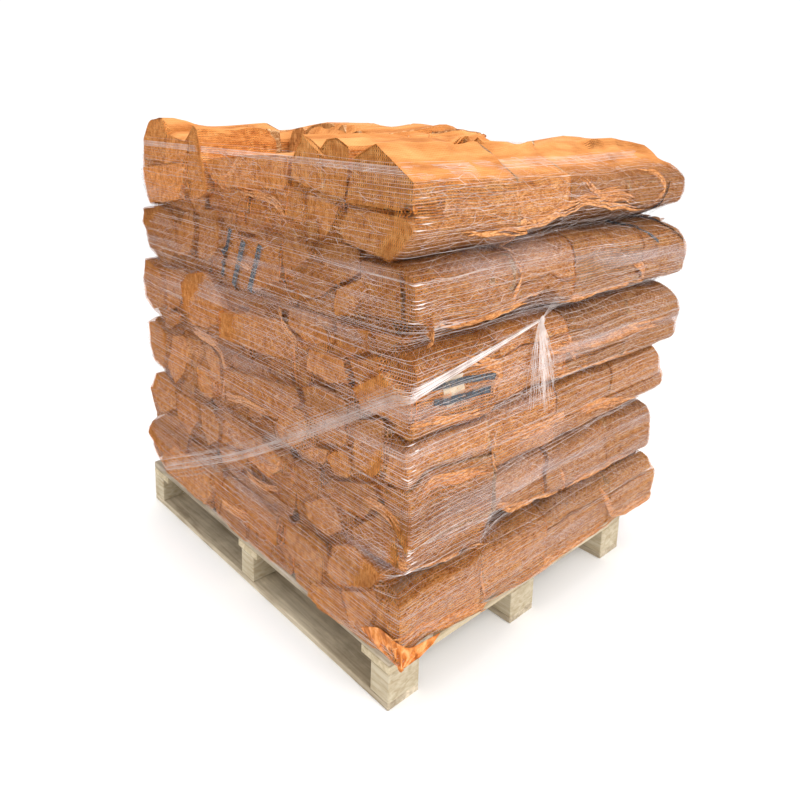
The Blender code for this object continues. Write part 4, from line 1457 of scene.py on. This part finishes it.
def make_ear(materials):
    """The gathered corner of the lowest front sack, hanging over the deck's corner, and the top mouth."""
    parts = MeshParts()
    rng = random.Random(77)
    tip = Vector((-0.553, -0.611, 0.146))
    rim = smooth_path([Vector((-0.575, -0.500, 0.196)), Vector((-0.577, -0.560, 0.232)),
                       Vector((-0.572, -0.612, 0.226)), Vector((-0.540, -0.620, 0.200)),
                       Vector((-0.490, -0.616, 0.186)), Vector((-0.430, -0.612, 0.176))], 6)
    rows = 9
    outer, inner = [], []
    for number, edge in enumerate(rim):
        outward = Vector((edge.x + 0.25, edge.y + 0.25, 0.0)).normalized()
        depth = 0.0065 if number % 4 in (0, 1) else 0.0
        for row in range(rows):
            share = row / (rows - 1)
            swell = math.sin(math.pi * share)
            crumple = noise.noise(Vector((number * 0.6, row * 0.9, 4))) * 0.004
            point = tip.lerp(edge, share ** 0.8) + outward * ((0.004 - depth + crumple) * swell)
            outer.append(tuple(point + Vector((0, 0, -0.008 * swell))))
            inner.append(tuple(point + Vector((0, 0, -0.008 * swell)) - outward * 0.0025))
    count = len(outer)
    faces = []
    for number in range(len(rim) - 1):
        for row in range(rows - 1):
            first = number * rows + row
            corners = (first, first + rows, first + rows + 1, first + 1)
            faces.append(corners)
            faces.append(tuple(count + corner for corner in reversed(corners)))
        rim_corners = (number * rows + rows - 1, (number + 1) * rows + rows - 1)
        faces.append((rim_corners[0], rim_corners[1], count + rim_corners[1], count + rim_corners[0]))
        tip_corners = (number * rows, (number + 1) * rows)
        faces.append((tip_corners[1], tip_corners[0], count + tip_corners[0], count + tip_corners[1]))
    for start, flip in ((0, False), ((len(rim) - 1) * rows, True)):
        for row in range(rows - 1):
            side = (start + row, start + row + 1, count + start + row + 1, count + start + row)
            faces.append(tuple(reversed(side)) if flip else side)
    parts.add(outer + inner, faces, 0, 1.0, [(0.0, 0.0)] * (4 * len(faces)))
    for strand in range(5):
        first = tip + Vector((rng.uniform(-0.003, 0.003), rng.uniform(-0.003, 0.003), 0.012))
        last = tip + Vector((rng.uniform(-0.004, 0.008), rng.uniform(-0.006, 0.002),
                             rng.uniform(-0.005, 0.001)))
        path = smooth_path([first, first.lerp(last, 0.5), last], 3)
        gathered_rope(parts, path, 0.006, rng.uniform(0, 9), 1, 0)
    place(parts.build("net_corner_ear", [materials["ear"]], shape=False), "orange_net")
    mouth = MeshParts()
    for strand in range(14):
        start = Vector((-0.09 + 0.012 * strand, -0.20 + rng.uniform(-0.04, 0.04), 1.284))
        path = smooth_path([start, start + Vector((0.03, 0.01, rng.uniform(0.003, 0.012))),
                            start + Vector((0.07, 0.02, rng.uniform(-0.006, 0.004)))], 5)
        gathered_rope(mouth, path, rng.uniform(0.008, 0.013), rng.uniform(0, 9), 2, 0)
    place(mouth.build("net_top_mouth", [materials["mouth"]], smooth=True, shape=False), "orange_net")


def make_sacks(materials):
    plan = []
    for level in range(1, LEVELS + 1):
        for row in ROWS:
            for column in COLUMNS:
                make_sack(level, row, column, materials, plan)
    return plan


# The wrap
def wrap_directions():
    """Rays from the load's middle to evenly spaced points round its outline, and how far round each is."""
    half_x, half_y = (cad_bounds[1][0] - cad_bounds[0][0]) / 2, (cad_bounds[1][1] - cad_bounds[0][1]) / 2
    total = 4 * (half_x + half_y)
    directions, arcs = [], []
    for ray in range(WRAP_RAYS):
        arc = total * ray / WRAP_RAYS
        arcs.append(arc)
        if arc < 2 * half_x:
            point = (-half_x + arc, -half_y)
        elif arc < 2 * half_x + 2 * half_y:
            point = (half_x, -half_y + arc - 2 * half_x)
        elif arc < 4 * half_x + 2 * half_y:
            point = (half_x - (arc - 2 * half_x - 2 * half_y), half_y)
        else:
            point = (-half_x, half_y - (arc - 4 * half_x - 2 * half_y))
        length = math.hypot(*point)
        directions.append((point[0] / length, point[1] / length))
    return np.array(directions), np.array(arcs), total


def wrap_reaches(plan, directions):
    """Reach of the taut net along each ray at each height: the hull of the logs there, eased up and down."""
    heights = np.arange(WRAP_LOW, WRAP_HIGH + 0.001, 0.006)
    reaches = []
    centre = np.zeros(2)
    for height in heights:
        points = []
        for polygon, start, end in plan:
            for value in crossed(polygon, height):
                points.extend(((start, value), (end, value)))
        hull = hull_of(np.array(points))
        reaches.append(hull_reaches(centre, directions, hull))
    reaches = np.array(reaches)
    hollow = reaches.copy()
    for _ in range(40):
        eased = hollow.copy()
        eased[1:-1] = (hollow[:-2] + hollow[2:]) / 2
        hollow = np.maximum(hollow, eased)
    return heights, reaches * 0.62 + hollow * 0.38 + 0.0035


def wrap_points(wrap, rays, levels, out=0.0):
    """Points of the wrap, over the shaped logs, at fractional ray numbers and heights."""
    directions, heights, reaches = wrap
    rays = np.asarray(rays, float)
    levels = np.broadcast_to(np.asarray(levels, float), rays.shape)
    low_ray = np.floor(rays).astype(int) % WRAP_RAYS
    high_ray = (low_ray + 1) % WRAP_RAYS
    side = rays - np.floor(rays)
    facing_it = directions[low_ray] * (1 - side)[:, None] + directions[high_ray] * side[:, None]

    def at(heights_now):
        level = np.clip((heights_now - heights[0]) / (heights[1] - heights[0]), 0.0, len(heights) - 1.001)
        low_level = level.astype(int)
        share = level - low_level
        below = reaches[low_level, low_ray] * (1 - side) + reaches[low_level, high_ray] * side
        above = reaches[low_level + 1, low_ray] * (1 - side) + reaches[low_level + 1, high_ray] * side
        reach = below * (1 - share) + above * share + out
        return np.column_stack((facing_it * reach[:, None], heights_now))

    found = at(levels)
    x, y = found[:, 0], found[:, 1]
    weight = ease((-0.40 - y) / 0.13) * ease((x + 0.555) / 0.09)
    done = shaped(at(levels + (front_heights(x, levels, True) - levels) * weight))
    done[:, 2] = levels
    return done


def taut(ring):
    """A closed cord pulled tight over the hollows on its way round."""
    reach = np.hypot(ring[:, 0], ring[:, 1])
    outward = ring[:, :2] / reach[:, None]
    for _ in range(26):
        corners = outward * reach[:, None]
        middle = (np.roll(corners[:-1], 1, axis=0) + np.roll(corners[:-1], -1, axis=0)) / 2
        reach[:-1] = np.maximum(reach[:-1], (middle * outward[:-1]).sum(axis=1))
        reach[-1] = reach[0]
    return np.column_stack((outward * reach[:, None], ring[:, 2]))


def ribbon(parts, points, width):
    """A thin flat cord that faces outwards, of one width or a width for each point."""
    vertices = []
    points = [Vector(point) for point in points]
    widths = width if hasattr(width, "__len__") else [width] * len(points)
    for number, (point, wide) in enumerate(zip(points, widths)):
        ahead = points[min(number + 1, len(points) - 1)] - points[max(number - 1, 0)]
        outward = Vector((point[0], point[1], 0.0)).normalized()
        across = outward.cross(ahead)
        across = across.normalized() * (wide / 2) if across.length > 1e-9 else Vector((0, 0, wide / 2))
        vertices.extend((tuple(point - across), tuple(point + across)))
    faces = [(2 * n, 2 * n + 2, 2 * n + 3, 2 * n + 1) for n in range(len(points) - 1)]
    parts.add(vertices, faces, 0)


def make_wrap(plan, materials):
    directions, arcs, total = wrap_directions()
    heights, reaches = wrap_reaches(plan, directions)
    wrap = (directions, heights, reaches)
    every_ray = np.arange(WRAP_RAYS + 1)
    rng = random.Random(41)
    rounds, crosses, glints = MeshParts(), MeshParts(), MeshParts()
    # Cords swell towards the near corner, where they bunch; the extra width also stands for painted highlight
    swell_and_glint = [1.0 + CORNER_SWELL_AND_GLINT * math.exp(-(min(arc, total - arc) / SWELL_AND_GLINT_REACH) ** 2)
                    for arc in (*arcs, 0.0)]
    levels = []
    height = WRAP_LOW + 0.004
    while height < WRAP_HIGH:
        levels.append(height)
        height += WRAP_STEP * rng.uniform(0.55, 1.45)
    strands = []
    for number, height in enumerate(levels):
        lean, phase = rng.uniform(-CORD_LEAN, CORD_LEAN), rng.uniform(0, 50)
        line = []
        for ray in range(WRAP_RAYS + 1):
            angle = ray * 2 * math.pi / WRAP_RAYS
            wave = noise.noise(Vector((math.cos(angle) * 3, phase, math.sin(angle) * 3))) * CORD_WANDER
            line.append(min(max(height + wave + lean * math.sin(angle), WRAP_LOW), WRAP_HIGH))
        line[-1] = line[0]
        strands.append(line)
        points = taut(wrap_points(wrap, every_ray % WRAP_RAYS, line, 0.0012 * (number % 2)))
        usual = STRAND_WIDTH * rng.choice((0.5, 0.7, 0.9, 1.2)) * (FINE_SHARE if height > FINE_ABOVE else 1.0)
        ribbon(rounds, points, [usual * swell for swell in swell_and_glint])
        # Painted highlights: short, wider and nearly opaque cords where the cords shine at the near corner
        if any(first < height < last for first, last in GLINTS) and rng.random() < GLINT_CHANCE:
            middle, span, thick = rng.uniform(-0.3, 2.2), rng.uniform(0.15, 0.50), rng.uniform(0.6, 1.8)
            short = wrap_points(wrap, middle + span * np.arange(-3, 4), height, 0.0030)
            ribbon(glints, short, [thick * width for width in GLINT_WIDTHS])
    for number in range(len(strands) - 2):
        ray, rising = rng.uniform(0, 3), rng.random() < 0.5
        while ray < WRAP_RAYS - 8:
            on_front = bool(arcs[int(ray)] < total * FRONT_PART)
            reach = rng.uniform(*TIE_REACHES)
            if rng.random() < TIE_CHANCES[on_front]:
                first, second = strands[number], strands[number + rng.choice((1, 1, 2))]
                if not rising:
                    first, second = second, first
                z_first, z_last = first[int(ray)], second[int(ray + reach) % WRAP_RAYS]
                bow = rng.uniform(-TIE_BOW, TIE_BOW)
                share = np.linspace(0.0, 1.0, 5)
                z = z_first + (z_last - z_first) * share + bow * np.sin(math.pi * share)
                points = wrap_points(wrap, ray + reach * share, z, 0.001)
                ribbon(crosses, points, CROSS_WIDTH * rng.choice((0.6, 0.9, 1.0, 1.7)))
            ray += reach * rng.uniform(0.7, 1.3)
            rising = not rising
    for number in range(BORDER_CORDS):
        height = WRAP_HIGH - 0.026 + 0.018 * number / BORDER_CORDS + rng.uniform(-0.001, 0.001)
        points = taut(wrap_points(wrap, every_ray % WRAP_RAYS, height, 0.0008))
        ribbon(rounds, points, STRAND_WIDTH * 0.9)
    for name, parts in (("pallet_net_cords", rounds), ("pallet_net_ties", crosses)):
        piece = parts.build(name, [materials["white"]], shape=False)
        place(piece, "white_net", "pallet_net")
    # The painted highlights of the near corner, in the bright cords' material
    corner_glints = glints.build("pallet_net_corner_glints", [materials["bright"]], shape=False)
    place(corner_glints, "white_net", "pallet_net")
    veil = MeshParts()
    rows = list(range(0, len(heights), VEIL_STEP))
    vertices = np.concatenate([wrap_points(wrap, every_ray[:-1], heights[row], 0.0004) for row in rows])
    faces, uvs = [], []
    for level in range(len(rows) - 1):
        for ray in range(WRAP_RAYS):
            after = (ray + 1) % WRAP_RAYS
            corners = (level * WRAP_RAYS + ray, level * WRAP_RAYS + after,
                       (level + 1) * WRAP_RAYS + after, (level + 1) * WRAP_RAYS + ray)
            faces.append(corners)
            for column, corner in zip((ray, ray + 1, ray + 1, ray), corners):
                uvs.append((total * column / WRAP_RAYS, vertices[corner][2]))
    veil.add(vertices, faces, 0, 1.0, uvs)
    sheet = veil.build("pallet_net_veil", [materials["veil"]], smooth=True, shape=False)
    place(sheet, "white_net", "pallet_net")


def make_band(materials):
    """The wrap gathered to a rope that climbs to its knot, and the loose tail."""
    low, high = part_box("net_gathered_band")
    tail_low, tail_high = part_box("net_knot_and_tail")
    knot = Vector((tail_low[0] + 0.006, (tail_low[1] + tail_high[1]) / 2, tail_high[2] - 0.004))
    left_x = low[0] + BAND_HALF
    corner = [Vector((left_x, low[1] + 0.050, BAND_CORNER_HEIGHT - 0.012)),
              Vector((low[0] + 0.010, low[1] + 0.012, BAND_CORNER_HEIGHT)),
              Vector((low[0] + 0.050, low[1] + BAND_HALF, BAND_CORNER_HEIGHT + 0.012))]
    start = Vector((left_x, high[1], BAND_START_HEIGHT))
    middle_height = (start.z + BAND_CORNER_HEIGHT) / 2 - BAND_SAG
    middle = Vector((left_x, (start.y + corner[0].y) / 2, middle_height))
    left = smooth_path([start, middle, corner[0]], 12) + smooth_path(corner, 5)[1:]
    right = smooth_path([corner[1], corner[2], corner[2].lerp(knot, 0.5), knot], 8)
    rng = random.Random(5)
    faint, bright = MeshParts(), MeshParts()
    for path, widths in ((left, LEFT_WIDTHS), (right, RIGHT_WIDTHS)):
        for strand in range(FAINT_CORDS):
            lay_band_cord(faint, path, widths, strand, rng, rng.choice(FAINT_CORD_WIDTHS))
    for strand in range(BRIGHT_CORDS):
        shortened = right[rng.randrange(0, 7):]
        lay_band_cord(bright, shortened, BRIGHT_WIDTHS, strand, rng, rng.choice(BRIGHT_CORD_WIDTHS))
    for strand in range(KNOT_FAN):
        points = [knot, knot + Vector((0.05, 0.0, 0.020 + 0.004 * strand)),
                  knot + Vector((0.12, 0.004, 0.030 + 0.011 * strand))]
        ribbon(faint, smooth_path(points, 4), 0.0009)
    for kind, parts in (("faint", faint), ("bright", bright)):
        cords = parts.build(f"net_band_{kind}_cords", [materials[kind]], shape=False)
        place(cords, "white_net", "net_gathered_band")
    tail = MeshParts()
    for strand in range(TAIL_CORDS):
        points = []
        lean, phase = rng.gauss(0.1, 0.42) - (1.1 if strand % 5 == 0 else 0.0), rng.uniform(0, 60)
        length = TAIL_LENGTH * rng.uniform(0.5, 1.02)
        for step in range(TAIL_STEPS + 1):
            part = step / TAIL_STEPS
            spread = 0.004 + 0.050 * part ** 0.8
            curl = noise.noise(Vector((phase, part * 5, 0))) * 0.014 * part
            x = knot.x + (tail_high[0] - tail_low[0] - 0.01) * part + spread * lean + curl
            y = knot.y + noise.noise(Vector((phase, 0, part * 5))) * 0.004 * part
            points.append(Vector((x, y, knot.z - length * part)))
        ribbon(tail, points, rng.choice(TAIL_CORD_WIDTHS))
    for _ in range(KNOT_LOOPS):
        points = []
        turn = rng.uniform(0, 3.1)
        for step in range(KNOT_STEPS + 1):
            angle = 2 * math.pi * step / KNOT_STEPS
            across = math.cos(angle) * 0.008
            points.append(knot + Vector((across * math.cos(turn), -0.002 - 0.003 * math.sin(angle / 2),
                                         math.sin(angle) * 0.006 + across * math.sin(turn))))
        ribbon(tail, points, 0.0018)
    place(tail.build("net_tail_cords", [materials["white"]], shape=False), "white_net", "net_knot_and_tail")


def lay_band_cord(parts, path, widths, strand, rng, width):
    """One cord of the band along a path, weaving across the band's width, which narrows to the end."""
    wide, narrow = widths
    offset, outward, turns = rng.gauss(0, 0.42), rng.uniform(-0.002, 0.002), rng.uniform(1.5, 4.0)
    points = []
    for number, point in enumerate(path):
        part = number / (len(path) - 1)
        spread = wide + (narrow - wide) * part
        weave = 0.22 * math.sin(part * turns + strand)
        flat = Vector((point.x, point.y, 0)).normalized()
        points.append(point + Vector((0, 0, spread * (offset + weave))) + flat * outward)
    ribbon(parts, points, [width * min(1.0, 0.15 + 0.4 * number) for number in range(len(points))])


# The pallet
def finish_pallet(materials):
    for name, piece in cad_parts.items():
        kind = name.split("_")[0]
        if kind in PALLET_KINDS:
            piece.data.materials.clear()
            piece.data.materials.append(materials[kind])


# Studio
def make_studio():
    floor_mesh = bpy.data.meshes.new("floor")
    corners = [(x * FLOOR_SIZE, y * FLOOR_SIZE, 0) for x, y in ((-1, -1), (1, -1), (1, 1), (-1, 1))]
    floor_mesh.from_pydata(corners, [], [(0, 1, 2, 3)])
    floor = bpy.data.objects.new("floor", floor_mesh)
    bpy.context.scene.collection.objects.link(floor)
    material, _, shader = new_material("floor")
    shader.inputs["Base Color"].default_value = (0.96, 0.96, 0.96, 1.0)
    shader.inputs["Roughness"].default_value = 0.9
    floor_mesh.materials.append(material)
    bpy.context.scene.view_settings.view_transform = "Standard"
    world = bpy.data.worlds.new("studio")
    world.use_nodes = True
    background = world.node_tree.nodes["Background"]
    background.inputs["Color"].default_value = (1.0, 1.0, 1.0, 1.0)
    background.inputs["Strength"].default_value = BACKGROUND_STRENGTH
    bpy.context.scene.world = world
    for light in LIGHTS:
        add_area(*light)


def add_area(name, place, target, size, power):
    light = bpy.data.lights.new(name, "AREA")
    light.size = size
    light.energy = power
    holder = bpy.data.objects.new(name, light)
    holder.location = place
    holder.rotation_euler = (Vector(target) - Vector(place)).to_track_quat("-Z", "Y").to_euler()
    bpy.context.scene.collection.objects.link(holder)


def make_camera():
    forward, right, up = camera_axes()
    camera = bpy.data.cameras.new("camera")
    camera.sensor_width = SENSOR_WIDTH
    camera.lens = FOCAL_PIXELS / IMAGE_PIXELS * SENSOR_WIDTH
    camera.shift_x = (IMAGE_PIXELS / 2 - CENTRE_PIXEL[0]) / IMAGE_PIXELS
    camera.shift_y = (CENTRE_PIXEL[1] - IMAGE_PIXELS / 2) / IMAGE_PIXELS
    holder = bpy.data.objects.new("camera", camera)
    matrix = Matrix((right, up, -forward)).transposed().to_4x4()
    matrix.translation = Vector(CAMERA_PLACE)
    holder.matrix_world = matrix
    bpy.context.scene.collection.objects.link(holder)
    bpy.context.scene.camera = holder


def main():
    make_camera()
    materials = {
        "wood": split_wood_material(),
        "end": end_wood_material(),
        "bark": bark_material(),
        "net": sack_net_material(),
        "gathered": gathered_net_material("orange_net_gathered", (0.24, 0.080, 0.026), (0.62, 0.25, 0.075),
                                          (0.86, 0.50, 0.24)),
        "ear": gathered_net_material("orange_net_corner", (0.26, 0.060, 0.010), (0.66, 0.215, 0.040),
                                     (0.96, 0.50, 0.21), (34.0, 70.0, 30.0)),
        # A darker copy of the gathered net: painted shade in the crumpled mouth on the top
        "mouth": gathered_net_material("orange_net_mouth", (0.15, 0.042, 0.010), (0.42, 0.145, 0.038),
                                       (0.70, 0.31, 0.11), (40.0, 90.0, 90.0)),
        "white": white_strand_material("white_net_strand", 0.62),
        "faint": white_strand_material("white_net_faint", 0.40),
        "bright": white_strand_material("white_net_bright", 0.95),
        "print": print_material(),
        "slip": slip_material(),
        "veil": white_veil_material(),
        "block": softwood_material("pallet_block", (0.40, 0.31, 0.185), (0.60, 0.53, 0.39), 0.84,
                                   (40.0, 12.0, 90.0)),
        "stringer": softwood_material("pallet_stringer", (0.44, 0.34, 0.20), (0.68, 0.58, 0.40), 0.7,
                                      (5.0, 70.0, 90.0)),
        "deck": softwood_material("pallet_board", (0.25, 0.195, 0.135), (0.55, 0.46, 0.34), 0.50,
                                  (70.0, 5.0, 90.0)),
        "skid": softwood_material("pallet_skid", (0.40, 0.32, 0.22), (0.72, 0.62, 0.46), 0.66,
                                  (70.0, 5.0, 90.0)),
    }
    plan = make_sacks(materials)
    make_wrap(plan, materials)
    make_band(materials)
    make_folds(plan, materials)
    make_print(plan, materials)
    make_ear(materials)
    finish_pallet(materials)
    make_studio()


main()
